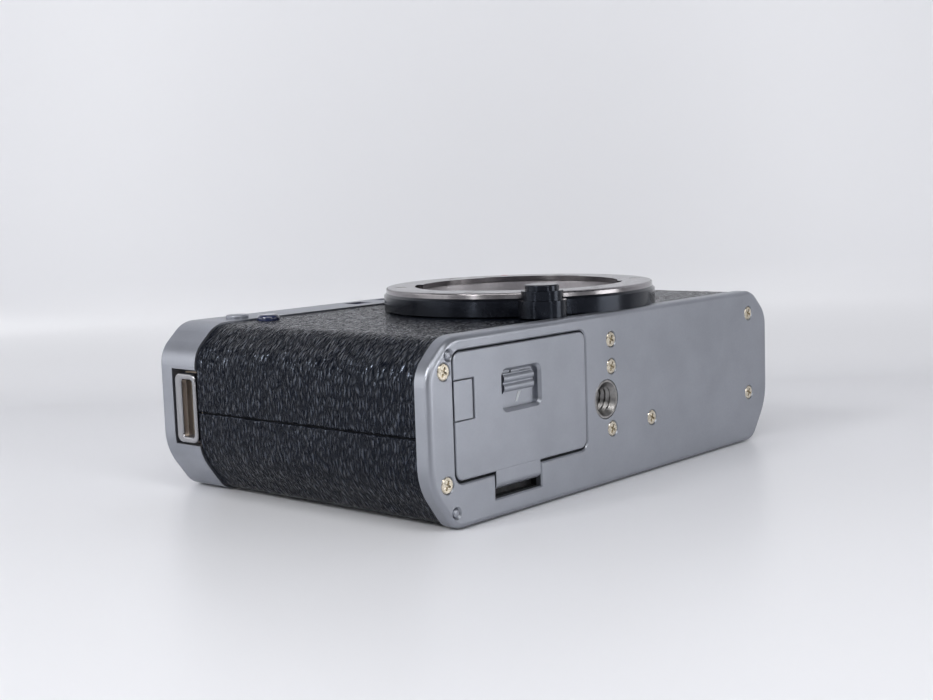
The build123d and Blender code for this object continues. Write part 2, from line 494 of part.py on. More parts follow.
# ==== top cover ====================================================================================
viewfinder_x = (LEFT + 74.5, LEFT + 87.5)
viewfinder_y = (BASE + 66.9, BASE + 74.1)
frame_light_x = (LEFT + 61.0, LEFT + 70.5)
frame_light_y = (BASE + 67.6, BASE + 73.4)
rangefinder_x = (LEFT + 50.5, LEFT + 56.0)
rangefinder_y = (BASE + 68.2, BASE + 72.8)
eyepiece_x = (LEFT + 75.5, LEFT + 86.5)
eyepiece_y = (BASE + 67.0, BASE + 74.0)
lock_button = (LEFT + 15.2, BASE + 68.6)
with BuildPart() as top_cover:
    slab(BASE + TOP_COVER_START, DECK)
    fillet(top_cover.faces().sort_by(Axis.Y)[-1].edges(), 0.9)
    with BuildSketch(level(DECK - 0.5)):
        with Locations((sum(HOUSING_X) / 2, sum(HOUSING_Z) / 2)):
            RectangleRounded(HOUSING_X[1] - HOUSING_X[0], HOUSING_Z[1] - HOUSING_Z[0], 3.0)
    extrude(amount=DECK - 0.5 - HOUSING_TOP, taper=4)
    fillet(top_cover.faces().sort_by(Axis.Y)[-1].edges(), 0.9)
    slab(BASE, DECK - SHEET, inset=SHEET, mode=Mode.SUBTRACT)
    block((HOUSING_X[0] + 2, HOUSING_X[1] - 2), (BASE + 70, HOUSING_TOP - SHEET),
          (HOUSING_Z[0] + 2, HOUSING_Z[1] - 2), mode=Mode.SUBTRACT)
    # strap recesses: a pocket with its own walls at each end
    for wall, pocket in (((LEFT + 0.5, LEFT + LUG_RECESS + 1.1), (LEFT - 1, LEFT + LUG_RECESS)),
                         ((RIGHT - LUG_RECESS - 1.1, RIGHT - 0.5), (RIGHT - LUG_RECESS, RIGHT + 1))):
        block(wall, (BASE + TOP_COVER_START, LUG_Y[1] + 2.0), (LUG_Z[0] - 1.2, LUG_Z[1] + 2.7))
        block(pocket, (BASE + TOP_COVER_START - 1, LUG_Y[1] + 0.5), (LUG_Z[0] - 0.4, LUG_Z[1] + 0.9),
              mode=Mode.SUBTRACT)
    for opening_x, opening_y, opening_z in (
            (viewfinder_x, viewfinder_y, (DEPTH - 2, DEPTH + 1)),
            (frame_light_x, frame_light_y, (DEPTH - 2, DEPTH + 1)),
            (rangefinder_x, rangefinder_y, (DEPTH - 2, DEPTH + 1)),
            (eyepiece_x, eyepiece_y, (-1, 2))):
        block(opening_x, opening_y, opening_z, mode=Mode.SUBTRACT)
    rod_y(CASSETTE_X, CASSETTE_Z, 2.8, DECK - 3, DECK + 1, mode=Mode.SUBTRACT)
    rod_y(DIAL_X, DIAL_Z, 1.5 + RUN, DECK - 3, DECK + 1, mode=Mode.SUBTRACT)
    rod_y(TRIGGER_X, TRIGGER_Z, 1.4 + RUN, DECK - 3, DECK + 1, mode=Mode.SUBTRACT)
    rod_y(SPOOL_X, SPOOL_Z, 2.2 + RUN, DECK - 3, DECK + 1, mode=Mode.SUBTRACT)
    rod_y(COUNTER_X - 1.9, COUNTER_Z, 2.9, DECK - 3, DECK + 1, mode=Mode.SUBTRACT)
    rod_z(*lock_button, LOCK_STEM + RUN, DEPTH - 3, DEPTH + 1, mode=Mode.SUBTRACT)
    rod_z(*lock_button, LOCK_CAP + RUN, DEPTH - LOCK_SINK, DEPTH + 1, mode=Mode.SUBTRACT)
save(top_cover, "top_cover")


def window(x, y, bezel):
    """Pane set into the front wall of the top cover, with a bevelled outer face."""
    with BuildPart() as pane:
        block((x[0] + 0.05, x[1] - 0.05), (y[0] + 0.05, y[1] - 0.05),
              (DEPTH - SHEET - 0.3, DEPTH - 0.25))
        chamfer(pane.faces().sort_by(Axis.Z)[-1].edges(), bezel)
    return pane


viewfinder_window = window(viewfinder_x, viewfinder_y, 0.3)
save(viewfinder_window, "viewfinder_window")
frame_light_window = window(frame_light_x, frame_light_y, 0.3)
save(frame_light_window, "frame_light_window")
rangefinder_window = window(rangefinder_x, rangefinder_y, 0.3)
save(rangefinder_window, "rangefinder_window")

with BuildPart() as eyepiece_frame:
    block((eyepiece_x[0] + 0.05, eyepiece_x[1] - 0.05), (eyepiece_y[0] + 0.05, eyepiece_y[1] - 0.05),
          (0.15, 2.4))
    chamfer(eyepiece_frame.faces().sort_by(Axis.Z)[0].edges(), 0.3)
    block((eyepiece_x[0] + 1.2, eyepiece_x[1] - 1.2), (eyepiece_y[0] + 1.2, eyepiece_y[1] - 1.2), (0, 3),
          mode=Mode.SUBTRACT)
save(eyepiece_frame, "eyepiece_frame")

with BuildPart() as eyepiece_glass:
    block((eyepiece_x[0] + 1.25, eyepiece_x[1] - 1.25), (eyepiece_y[0] + 1.25, eyepiece_y[1] - 1.25),
          (1.0, 2.2))
save(eyepiece_glass, "eyepiece_glass")

with BuildPart() as viewfinder_block:
    block((rangefinder_x[0] - 0.5, viewfinder_x[1] + 0.5), (BASE + 66.8, BASE + 74.2), (13.0, 31.5))
    block((eyepiece_x[0], eyepiece_x[1]), (BASE + 67.2, BASE + 73.8), (4.0, 13.5))
    chamfer(viewfinder_block.edges().filter_by(Axis.Y).sort_by(Axis.X)[0], 5.0)
save(viewfinder_block, "viewfinder_block")

with BuildPart() as circuit_board:
    block((LEFT + 8, LEFT + 48), (casting_top + 0.05, casting_top + 0.85), (10, 30))
    rod_y(SPOOL_X, SPOOL_Z, 4.0, BASE, DECK, mode=Mode.SUBTRACT)
    rod_y(SPROCKET_X, SPROCKET_Z, 2.4, BASE, DECK, mode=Mode.SUBTRACT)
save(circuit_board, "circuit_board")

with BuildPart() as accessory_shoe:
    shoe_x = (LENS_X - 10.6, LENS_X + 10.6)
    shoe_z = (8.0, 27.0)
    block(shoe_x, (HOUSING_TOP, SHOE_TOP), shoe_z)
    slot_z = (shoe_z[0] - 1, shoe_z[1] - 1.5)
    block((shoe_x[0] + 1.2, shoe_x[1] - 1.2), (HOUSING_TOP + 0.6, HOUSING_TOP + 2.7), slot_z,
          mode=Mode.SUBTRACT)
    block((LENS_X - 6.5, LENS_X + 6.5), (HOUSING_TOP + 0.6, SHOE_TOP + 1), slot_z, mode=Mode.SUBTRACT)
    block((LENS_X - 7.5, LENS_X + 7.5), (HOUSING_TOP + 0.6, SHOE_TOP + 1), (shoe_z[1] - 2, shoe_z[1] + 1),
          mode=Mode.SUBTRACT)
    rod_y(LENS_X, 16.0, 1.5, HOUSING_TOP - 1, SHOE_TOP, mode=Mode.SUBTRACT)
save(accessory_shoe, "accessory_shoe")

with BuildPart() as shoe_contact:
    rod_y(LENS_X, 16.0, 1.45, HOUSING_TOP + 0.02, HOUSING_TOP + 0.75)
    fillet(shoe_contact.faces().sort_by(Axis.Y)[-1].edges(), 0.3)
save(shoe_contact, "shoe_contact")


def strap_bar(outer_x, inner_x):
    """Rectangular strap loop standing in the recess of the top cover, on two short feet."""
    with BuildPart() as loop:
        with BuildSketch(Plane.YZ.offset(min(outer_x, inner_x))):
            with Locations((sum(LUG_Y) / 2, sum(LUG_Z) / 2)):
                RectangleRounded(LUG_Y[1] - LUG_Y[0], LUG_Z[1] - LUG_Z[0], 1.6)
            with Locations(((LUG_Y[0] + LUG_RAIL + LUG_Y[1] - LUG_BAR) / 2, sum(LUG_Z) / 2)):
                RectangleRounded(LUG_Y[1] - LUG_Y[0] - LUG_RAIL - LUG_BAR,
                                 LUG_Z[1] - LUG_Z[0] - 2 * LUG_END, 0.7, mode=Mode.SUBTRACT)
        extrude(amount=abs(outer_x - inner_x))
        fillet(loop.faces().filter_by(Axis.X).edges(), 0.4)
    return loop


lug_plate_y = (LUG_Y[0] + 0.3, LUG_Y[1] - 0.3)
strap_loop_grip_end = strap_bar(LEFT + 0.1, LEFT + 1.8)
with BuildPart() as strap_posts_grip_end:
    for foot_z in (LUG_Z[0] + 0.15, LUG_Z[1] - 1.35):
        block((LEFT + 1.4, LEFT + LUG_RECESS), (LUG_Y[0] + 2.2, LUG_Y[1] - 2.2), (foot_z, foot_z + 1.2))
    block((LEFT + LUG_RECESS - LUG_PLATE, LEFT + LUG_RECESS), lug_plate_y, LUG_Z)
    add(strap_loop_grip_end.part)
save(strap_posts_grip_end, "strap_loop_grip_end")
strap_loop_far_end = strap_bar(RIGHT - 0.1, RIGHT - 1.8)
with BuildPart() as strap_posts_far_end:
    for foot_z in (LUG_Z[0] + 0.15, LUG_Z[1] - 1.35):
        block((RIGHT - LUG_RECESS, RIGHT - 1.4), (LUG_Y[0] + 2.2, LUG_Y[1] - 2.2), (foot_z, foot_z + 1.2))
    block((RIGHT - LUG_RECESS, RIGHT - LUG_RECESS + LUG_PLATE), lug_plate_y, LUG_Z)
    add(strap_loop_far_end.part)
save(strap_posts_far_end, "strap_loop_far_end")

with BuildPart() as counter_window:
    rod_y(COUNTER_X - 1.9, COUNTER_Z, 2.85, DECK - 0.9, DECK - 0.05)
    fillet(counter_window.faces().sort_by(Axis.Y)[-1].edges(), 0.3)
save(counter_window, "counter_window")

with BuildPart() as counter_dial:
    rod_y(COUNTER_X, COUNTER_Z, 5.4, DECK - 2.4, DECK - 1.7)
    rod_y(COUNTER_X, COUNTER_Z, 1.0, casting_top + 1.0, DECK - 2.4)
save(counter_dial, "counter_dial")

with BuildPart() as lock_button_part:
    rod_z(*lock_button, LOCK_CAP, DEPTH - 0.05, DEPTH + 0.8)
    fillet(lock_button_part.faces().sort_by(Axis.Z)[-1].edges(), 0.35)
    rod_z(*lock_button, LOCK_STEM, DEPTH - 3.0, DEPTH + 0.1)
save(lock_button_part, "exposure_lock_button")

# ==== controls on the deck =========================================================================
LEVER_TIP = 21.0
with BuildPart() as advance_lever:
    rod_y(SPOOL_X, SPOOL_Z, 6.6, DECK + 0.15, DECK + 2.6)
    fillet(advance_lever.faces().sort_by(Axis.Y)[-1].edges(), 0.5)
    with BuildSketch(level(DECK + 0.6)):
        with BuildLine():
            FilletPolyline(
                (SPOOL_X - 3, SPOOL_Z - 5.2), (SPOOL_X + 6, SPOOL_Z - 10.0),
                (SPOOL_X + LEVER_TIP - 1.5, SPOOL_Z - 14.4), (SPOOL_X + LEVER_TIP, SPOOL_Z - 11.0),
                (SPOOL_X + 8.5, SPOOL_Z - 4.6), (SPOOL_X + 5.8, SPOOL_Z + 1.5), radius=1.2, close=True)
        make_face()
    extrude(amount=-1.5)
    rod_y(SPOOL_X, SPOOL_Z, 2.2, casting_top + 0.3, DECK + 0.5)
save(advance_lever, "advance_lever")

with BuildPart() as lever_tip:
    tip_x = SPOOL_X + LEVER_TIP - 2.2
    with BuildSketch(level(DECK + 0.4)):
        with Locations(Location((tip_x, SPOOL_Z - 13.6, 0), (0, 0, -22))):
            RectangleRounded(6.4, 2.2, 1.0)
    extrude(amount=-3.4)
    add(advance_lever.part, mode=Mode.SUBTRACT)
save(lever_tip, "lever_tip")

with BuildPart() as speed_dial:
    rod_y(DIAL_X, DIAL_Z, DIAL_RADIUS, DECK + 0.15, DECK + 3.4)
    fillet(speed_dial.faces().sort_by(Axis.Y)[-1].edges(), 0.5)
    for notch in range(36):
        turn = radians(notch * 10)
        rod_y(DIAL_X + (DIAL_RADIUS + 0.1) * cos(turn), DIAL_Z + (DIAL_RADIUS + 0.1) * sin(turn), 0.3,
              DECK + 0.9, DECK + 2.9, mode=Mode.SUBTRACT)
    rod_y(DIAL_X, DIAL_Z, 1.5, casting_top + 1.2, DECK + 0.2)
save(speed_dial, "speed_dial")

with BuildPart() as release_collar:
    rod_y(TRIGGER_X, TRIGGER_Z, 4.4, DECK + 0.02, DECK + 1.5)
    fillet(release_collar.faces().sort_by(Axis.Y)[-1].edges(), 0.4)
    rod_y(TRIGGER_X, TRIGGER_Z, 3.2, DECK - 1, DECK + 2, mode=Mode.SUBTRACT)
save(release_collar, "release_collar")

with BuildPart() as shutter_release:
    rod_y(TRIGGER_X, TRIGGER_Z, 3.1, DECK + 1.9, DECK + 3.3)
    fillet(shutter_release.faces().sort_by(Axis.Y)[-1].edges(), 0.5)
    rod_y(TRIGGER_X, TRIGGER_Z, 1.4, casting_top + 2.8, DECK + 2.0)
    rod_y(TRIGGER_X, TRIGGER_Z, 1.0, DECK + 1.2, DECK + 4, mode=Mode.SUBTRACT)
save(shutter_release, "shutter_release")

# ---- rewind: a lifting sleeve, the knob with its shaft and fork, and the fold-out crank -------------
KNOB_RADIUS = 8.4
KNOB_BASE = DECK + 0.9
KNOB_TOP = DECK + 5.2
CRANK_PIVOT_X = CASSETTE_X - 4.6
with BuildPart() as rewind_sleeve:
    rod_y(CASSETTE_X, CASSETTE_Z, 2.74, casting_top + 1.0, DECK + 0.1)
    rod_y(CASSETTE_X, CASSETTE_Z, 4.2, DECK + 0.1, DECK + 0.8)
    rod_y(CASSETTE_X, CASSETTE_Z, 1.6 + RUN, BASE, DECK + 1, mode=Mode.SUBTRACT)
save(rewind_sleeve, "rewind_sleeve")

with BuildPart() as rewind_knob:
    rod_y(CASSETTE_X, CASSETTE_Z, KNOB_RADIUS, KNOB_BASE, KNOB_TOP)
    fillet(rewind_knob.edges().filter_by(GeomType.CIRCLE), 0.4)
    for notch in range(40):
        turn = radians(notch * 9)
        notch_x = CASSETTE_X + (KNOB_RADIUS + 0.12) * cos(turn)
        notch_z = CASSETTE_Z + (KNOB_RADIUS + 0.12) * sin(turn)
        rod_y(notch_x, notch_z, 0.32, KNOB_BASE + 0.6, KNOB_TOP - 0.6, mode=Mode.SUBTRACT)
    # channel for the crank, open at both rims, with a pocket for its folded handle
    rod_y(CASSETTE_X + 6.2, CASSETTE_Z, 1.6, KNOB_TOP - 3.4, KNOB_TOP, mode=Mode.SUBTRACT)
    block((CASSETTE_X - KNOB_RADIUS - 1, CASSETTE_X + KNOB_RADIUS + 1), (KNOB_TOP - 1.6, KNOB_TOP + 1),
          (CASSETTE_Z - 2.1, CASSETTE_Z + 2.1), mode=Mode.SUBTRACT)
    rod_y(CASSETTE_X, CASSETTE_Z, 1.6, CHAMBER_TOP - 5.0, KNOB_BASE + 0.5)
    rod_z(CRANK_PIVOT_X, KNOB_TOP - 0.8, 0.41, CASSETTE_Z - 3.5, CASSETTE_Z + 3.5, mode=Mode.SUBTRACT)
    block((CASSETTE_X - 3.0, CASSETTE_X + 3.0), (CHAMBER_TOP - 7.0, CHAMBER_TOP - 4.4),
          (CASSETTE_Z - 0.9, CASSETTE_Z + 0.9))
save(rewind_knob, "rewind_knob")

with BuildPart() as crank_pin:
    rod_z(CRANK_PIVOT_X, KNOB_TOP - 0.8, 0.4, CASSETTE_Z - 3.4, CASSETTE_Z + 3.4)
save(crank_pin, "crank_pin")

with BuildPart() as rewind_crank:
    arm_y = (KNOB_TOP - 1.35, KNOB_TOP - 0.25)
    block((CRANK_PIVOT_X, CASSETTE_X + 6.2), arm_y, (CASSETTE_Z - 1.6, CASSETTE_Z + 1.6))
    rod_z(CRANK_PIVOT_X, KNOB_TOP - 0.8, 0.75, CASSETTE_Z - 1.6, CASSETTE_Z + 1.6)
    rod_y(CASSETTE_X + 6.2, CASSETTE_Z, 1.6, arm_y[0], arm_y[1])
    rod_y(CASSETTE_X + 6.2, CASSETTE_Z, 1.25, KNOB_TOP - 3.1, arm_y[0] + 0.1)
    rod_z(CRANK_PIVOT_X, KNOB_TOP - 0.8, 0.4 + RUN, CASSETTE_Z - 3, CASSETTE_Z + 3, mode=Mode.SUBTRACT)
    fillet(rewind_crank.faces().sort_by(Axis.Y)[-1].edges(), 0.4)
save(rewind_crank, "rewind_crank")

# ==== film transport ===============================================================================
with BuildPart() as take_up_spool:
    rod_y(SPOOL_X, SPOOL_Z, 7.6, TAKE_UP_FLOOR + 0.4, LENS_Y + 20)
    rod_y(SPOOL_X, SPOOL_Z, 10.4, TAKE_UP_FLOOR + 0.4, TAKE_UP_FLOOR + 1.4)
    rod_y(SPOOL_X, SPOOL_Z, 10.4, LENS_Y + 19, LENS_Y + 20)
    for slot in range(6):
        turn = radians(slot * 60)
        rod_y(SPOOL_X + 8.1 * cos(turn), SPOOL_Z + 8.1 * sin(turn), 1.1, TAKE_UP_FLOOR + 2.4, LENS_Y + 18,
              mode=Mode.SUBTRACT)
    rod_y(SPOOL_X, SPOOL_Z, 2.0, LENS_Y + 19, casting_top)
save(take_up_spool, "take_up_spool")

with BuildPart() as sprocket:
    rod_y(SPROCKET_X, SPROCKET_Z, SPROCKET_RADIUS, TAKE_UP_FLOOR + 0.4, LENS_Y + 19)
    rod_y(SPROCKET_X, SPROCKET_Z, 3.4, LENS_Y - 11.5, LENS_Y + 11.5, mode=Mode.ADD)
    for row in (LENS_Y - 14.1, LENS_Y + 14.1):
        for tooth in range(8):
            turn = tooth * 45
            with Locations(Location((SPROCKET_X, row, SPROCKET_Z), (0, turn, 0))):
                with Locations((SPROCKET_RADIUS + 0.3, 0, 0)):
                    Box(1.4, 1.6, 1.0)
    rod_y(SPROCKET_X, SPROCKET_Z, 1.5, LENS_Y + 18, casting_top)
save(sprocket, "sprocket")

# ==== shutter ======================================================================================
APERTURE_BOTTOM = LENS_Y - GATE_HEIGHT / 2
APERTURE_TOP = LENS_Y + GATE_HEIGHT / 2
BLADE_HEIGHT = 9.0
BLADE_STEP = 8.0
BLADE_SPACING = 0.35
BLADE_THICKNESS = 0.15
BLADE_X = (LENS_X - 18.5, LENS_X + 18.5)
with BuildPart() as shutter_frame:
    frame_x = (SHUTTER_LEFT + 0.1, SHUTTER_RIGHT - 0.1)
    frame_y = (SHUTTER_BOTTOM + 0.1, SHUTTER_TOP - 0.1)
    frame_z = (FILM_Z + 1.5, FILM_Z + 5.2)
    block(frame_x, frame_y, frame_z)
    block((LENS_X - 18.9, LENS_X + 18.9), (frame_y[0] + 0.8, frame_y[1] - 0.8),
          (frame_z[0] + 0.5, frame_z[1] - 0.5), mode=Mode.SUBTRACT)
    block((LENS_X - 18.2, LENS_X + 18.2), (APERTURE_BOTTOM - 0.2, APERTURE_TOP + 0.2),
          (frame_z[0] - 1, frame_z[1] + 1), mode=Mode.SUBTRACT)
save(shutter_frame, "shutter_frame")

for curtain, first_z, lowest in (("front", frame_z[0] + 0.75, APERTURE_BOTTOM - 0.5),
                                 ("rear", frame_z[0] + 1.95, APERTURE_TOP + 1.0)):
    for number, name in enumerate(("lower", "middle", "upper")):
        blade_low = lowest + (number * BLADE_STEP if curtain == "front" else 0.0)
        blade_z = first_z + number * BLADE_SPACING
        with BuildPart() as blade:
            block(BLADE_X, (blade_low, blade_low + BLADE_HEIGHT), (blade_z, blade_z + BLADE_THICKNESS))
        save(blade, f"{curtain}_curtain_{name}_blade")

# ==== lens mount ===================================================================================
with BuildPart() as mount_ring:
    rod_z(LENS_X, LENS_Y, MOUNT_RADIUS, DEPTH, DEPTH + MOUNT_HEIGHT)
    chamfer(mount_ring.faces().sort_by(Axis.Z)[-1].edges(), 0.5)
    with BuildSketch(Plane.XY.offset(DEPTH)):
        with Locations((RELEASE_X, RELEASE_Y)):
            Circle(BOSS_RADIUS)
        bridge = ((LENS_X + 3 * RELEASE_X) / 4, (LENS_Y + 3 * RELEASE_Y) / 4, 0)
        with Locations(Location(bridge, (0, 0, LOCK_PIN_ANGLE))):
            Rectangle(9, 2 * BOSS_RADIUS + 1.6)
    extrude(amount=BOSS_HEIGHT)
    rod_z(LENS_X, LENS_Y, SPIGOT_RADIUS, DEPTH - 2.6, DEPTH + 1)
    rod_z(LENS_X, LENS_Y, SPIGOT_RADIUS - 1.0, DEPTH - 3, DEPTH + MOUNT_HEIGHT + 1, mode=Mode.SUBTRACT)
    rod_z(RELEASE_X, RELEASE_Y, BUTTON_RADIUS + 0.08, DEPTH + 0.15, DEPTH + 6, mode=Mode.SUBTRACT)
    rod_z(*LOCK_PIN, LOCK_PIN_RADIUS + RUN, DEPTH + 0.6, DEPTH + 6, mode=Mode.SUBTRACT)
save(mount_ring, "mount_ring")

with BuildPart() as bayonet_flange:
    rod_z(LENS_X, LENS_Y, FLANGE_RADIUS, DEPTH + MOUNT_HEIGHT, FLANGE_Z)
    fillet(bayonet_flange.faces().sort_by(Axis.Z)[-1].edges(), 0.4)
    rod_z(LENS_X, LENS_Y, CLAW_RADIUS, DEPTH, FLANGE_Z + 1, mode=Mode.SUBTRACT)
    # three claws are left between the wide entry slots
    with BuildSketch(Plane.XY.offset(DEPTH)):
        for claw in range(3):
            middle = 30 + claw * 120
            with BuildLine():
                entry_start = middle - 30
                inner = CenterArc((LENS_X, LENS_Y), CLAW_RADIUS - 0.5, entry_start, 60)
                outer = CenterArc((LENS_X, LENS_Y), THROAT_RADIUS, entry_start, 60)
                Line(inner @ 0, outer @ 0)
                Line(inner @ 1, outer @ 1)
            make_face()
    extrude(amount=6, mode=Mode.SUBTRACT)
    for number in range(6):
        spot = on_mount(SCREW_CIRCLE, 17 + number * 60)
        rod_z(*spot, 1.25, FLANGE_Z - 0.6, FLANGE_Z + 1, mode=Mode.SUBTRACT)
        rod_z(*spot, 0.75, DEPTH, FLANGE_Z, mode=Mode.SUBTRACT)
    rod_z(*LOCK_PIN, LOCK_PIN_RADIUS + RUN, DEPTH, FLANGE_Z + 1, mode=Mode.SUBTRACT)
    rod_z(RELEASE_X, RELEASE_Y, BUTTON_RADIUS + 0.12, DEPTH, FLANGE_Z + 1, mode=Mode.SUBTRACT)
save(bayonet_flange, "bayonet_flange")

with BuildPart() as flange_screws:
    for number in range(6):
        spot = on_mount(SCREW_CIRCLE, 17 + number * 60)
        rod_z(*spot, 1.2, FLANGE_Z - 0.58, FLANGE_Z - 0.05)
        rod_z(*spot, 0.7, DEPTH + MOUNT_HEIGHT + 0.02, FLANGE_Z - 0.5)
        for turn in (20, 110):
            with Locations(Location((*spot, FLANGE_Z - 0.2), (0, 0, turn))):
                Box(1.4, 0.34, 0.36, mode=Mode.SUBTRACT)
save(flange_screws, "flange_screws")

with BuildPart() as throat_liner:
    rod_z(LENS_X, LENS_Y, SPIGOT_RADIUS - 1.05, LINER_START, DEPTH + MOUNT_HEIGHT - 0.05)
    rod_z(LENS_X, LENS_Y, THROAT_RADIUS + 0.2, 19.0, DEPTH + MOUNT_HEIGHT + 1, mode=Mode.SUBTRACT)
    rod_z(*LOCK_PIN, LOCK_PIN_RADIUS + 0.5, DEPTH, DEPTH + 6, mode=Mode.SUBTRACT)
save(throat_liner, "throat_liner")

with BuildPart() as lens_release_button:
    rod_z(RELEASE_X, RELEASE_Y, BUTTON_RADIUS, DEPTH + 1.8, BUTTON_STEP_Z)
    rod_z(RELEASE_X, RELEASE_Y, BUTTON_CAP_RADIUS, BUTTON_STEP_Z - 0.1, BUTTON_TOP_Z)
    fillet(lens_release_button.edges().filter_by(GeomType.CIRCLE).group_by(Axis.Z)[-1], 0.3)
    fillet(lens_release_button.edges().filter_by(GeomType.CIRCLE).sort_by(SortBy.RADIUS)[-1], 0.3)
save(lens_release_button, "lens_release_button")

with BuildPart() as lens_lock_pin:
    rod_z(*LOCK_PIN, LOCK_PIN_RADIUS, DEPTH + 2.3, FLANGE_Z + 0.8)
    fillet(lens_lock_pin.faces().sort_by(Axis.Z)[-1].edges(), 0.3)
save(lens_lock_pin, "lens_lock_pin")

with BuildPart() as lens_index_dot:
    index = on_mount((MOUNT_RADIUS + FLANGE_RADIUS) / 2 - 1.6, 46)
    rod_z(*index, 0.9, FLANGE_Z - 0.3, FLANGE_Z + 0.25)
    fillet(lens_index_dot.faces().sort_by(Axis.Z)[-1].edges(), 0.2)
    add(bayonet_flange.part, mode=Mode.SUBTRACT)
save(lens_index_dot, "lens_index_dot")
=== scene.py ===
"""Film camera body lying on its back: the looks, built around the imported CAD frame.

Metres, in the frame's own axes: +X runs from the grip end to the rewind end, +Y is the camera's
own up direction and +Z the way the lens mount looks. The camera's back lies on the floor, z = 0.
"""
import json
import math

import bmesh
import bpy
import numpy as np
from mathutils import Matrix, Vector


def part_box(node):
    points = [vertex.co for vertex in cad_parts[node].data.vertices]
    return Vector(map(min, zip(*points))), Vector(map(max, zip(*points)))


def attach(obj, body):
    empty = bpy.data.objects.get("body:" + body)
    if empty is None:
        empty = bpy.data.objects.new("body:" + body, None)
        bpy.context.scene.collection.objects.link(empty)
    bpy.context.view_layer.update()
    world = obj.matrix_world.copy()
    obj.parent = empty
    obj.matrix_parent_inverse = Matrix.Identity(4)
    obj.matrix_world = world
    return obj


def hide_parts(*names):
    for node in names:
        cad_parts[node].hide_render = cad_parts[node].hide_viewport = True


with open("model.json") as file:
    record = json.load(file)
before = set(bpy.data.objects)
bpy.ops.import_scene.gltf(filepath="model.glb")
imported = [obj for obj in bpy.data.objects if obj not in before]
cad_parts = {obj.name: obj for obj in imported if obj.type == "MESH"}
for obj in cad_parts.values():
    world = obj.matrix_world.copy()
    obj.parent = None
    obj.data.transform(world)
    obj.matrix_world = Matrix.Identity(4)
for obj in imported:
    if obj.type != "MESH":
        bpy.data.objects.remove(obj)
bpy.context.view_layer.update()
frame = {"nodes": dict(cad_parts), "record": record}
MM = 0.001
NODES = frame["nodes"]
scene = bpy.context.scene


def middle(node):
    """Centre of a CAD node's box."""
    low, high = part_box(node)
    return (low + high) / 2


# ---- places worked out from the frame -------------------------------------------------------
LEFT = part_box("base_cover")[0].x
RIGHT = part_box("base_cover")[1].x
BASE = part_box("base_cover")[0].y
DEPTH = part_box("base_cover")[1].z
LENS = middle("bayonet_flange")
TRIPOD = middle("tripod_socket")
PLATE_DEPTH = 2.6 * MM      # the plates of the strap loops lie deeper than this, and carry a painted bronze reflection


# ==== shader helpers =========================================================================
class Shader:
    """A material's node tree, with short calls for the nodes that every finish here uses."""

    def __init__(self, name, **values):
        self.material = bpy.data.materials.new(name)
        self.material.use_nodes = True
        self.nodes = self.material.node_tree.nodes
        self.links = self.material.node_tree.links
        self.surface = self.nodes["Principled BSDF"]
        for socket, value in values.items():
            self.set(socket.replace("_", " "), value)
        self.place = self.add("ShaderNodeTexCoord").outputs["Object"]

    def set(self, socket, value):
        if isinstance(value, tuple) and len(value) == 3:
            value = (*value, 1.0)
        self.surface.inputs[socket].default_value = value

    def add(self, kind, **settings):
        node = self.nodes.new(kind)
        for key, value in settings.items():
            setattr(node, key, value)
        return node

    def link(self, output, target):
        self.links.new(output, target)

    def noise(self, size, detail=2.0, roughness=0.5):
        """Noise whose features are about size millimetres across."""
        node = self.add("ShaderNodeTexNoise")
        node.inputs["Scale"].default_value = 1 / (size * MM)
        node.inputs["Detail"].default_value = detail
        node.inputs["Roughness"].default_value = roughness
        self.link(self.place, node.inputs["Vector"])
        return node.outputs["Fac"]

    def cells(self, size):
        """Distance to the edges of cells about size millimetres across."""
        node = self.add("ShaderNodeTexVoronoi", feature="DISTANCE_TO_EDGE")
        node.inputs["Scale"].default_value = 1 / (size * MM)
        self.link(self.place, node.inputs["Vector"])
        return node.outputs["Distance"]

    def spread(self, value, low, high, start=0.35, stop=0.65):
        """Map a 0 to 1 value onto low..high."""
        node = self.add("ShaderNodeMapRange")
        sockets = {"From Min": start, "From Max": stop, "To Min": low, "To Max": high}
        for key, number in sockets.items():
            node.inputs[key].default_value = number
        self.link(value, node.inputs["Value"])
        return node.outputs["Result"]

    def tint(self, value, dark, light):
        """Colour between dark and light by a 0 to 1 value."""
        node = self.add("ShaderNodeMix", data_type="RGBA")
        node.inputs["A"].default_value = (*dark, 1)
        node.inputs["B"].default_value = (*light, 1)
        self.link(value, node.inputs["Factor"])
        self.link(node.outputs["Result"], self.surface.inputs["Base Color"])

    def bump(self, *layers):
        """Stack of height layers, each (value, height in millimetres)."""
        previous = None
        for value, height in layers:
            node = self.add("ShaderNodeBump")
            node.inputs["Strength"].default_value = 1.0
            node.inputs["Distance"].default_value = height * MM
            self.link(value, node.inputs["Height"])
            if previous:
                self.link(previous, node.inputs["Normal"])
            previous = node.outputs["Normal"]
        self.link(previous, self.surface.inputs["Normal"])

    def rough(self, value, low, high):
        self.link(self.spread(value, low, high), self.surface.inputs["Roughness"])


# ==== materials ==============================================================================
BLUED = (0.70, 0.80, 1.0)   # tint of the reflections in the black finishes
TURNING_PITCH = 0.09 * MM   # between the rings that a lathe leaves
PLATE_CHANGE = 0.05 * MM    # over which the strap loop's chrome changes to its plate's rougher finish with a painted bronze reflection
WRINKLE_LENGTH = 2.4 * MM   # leather wrinkles: length round the body
WRINKLE_WIDTH = 0.64 * MM   # width from base to top
WRINKLE_SWAY = 0.8 * MM     # how far they wander
SWAY_SIZE = 1.6 * MM        # over what distance they wander


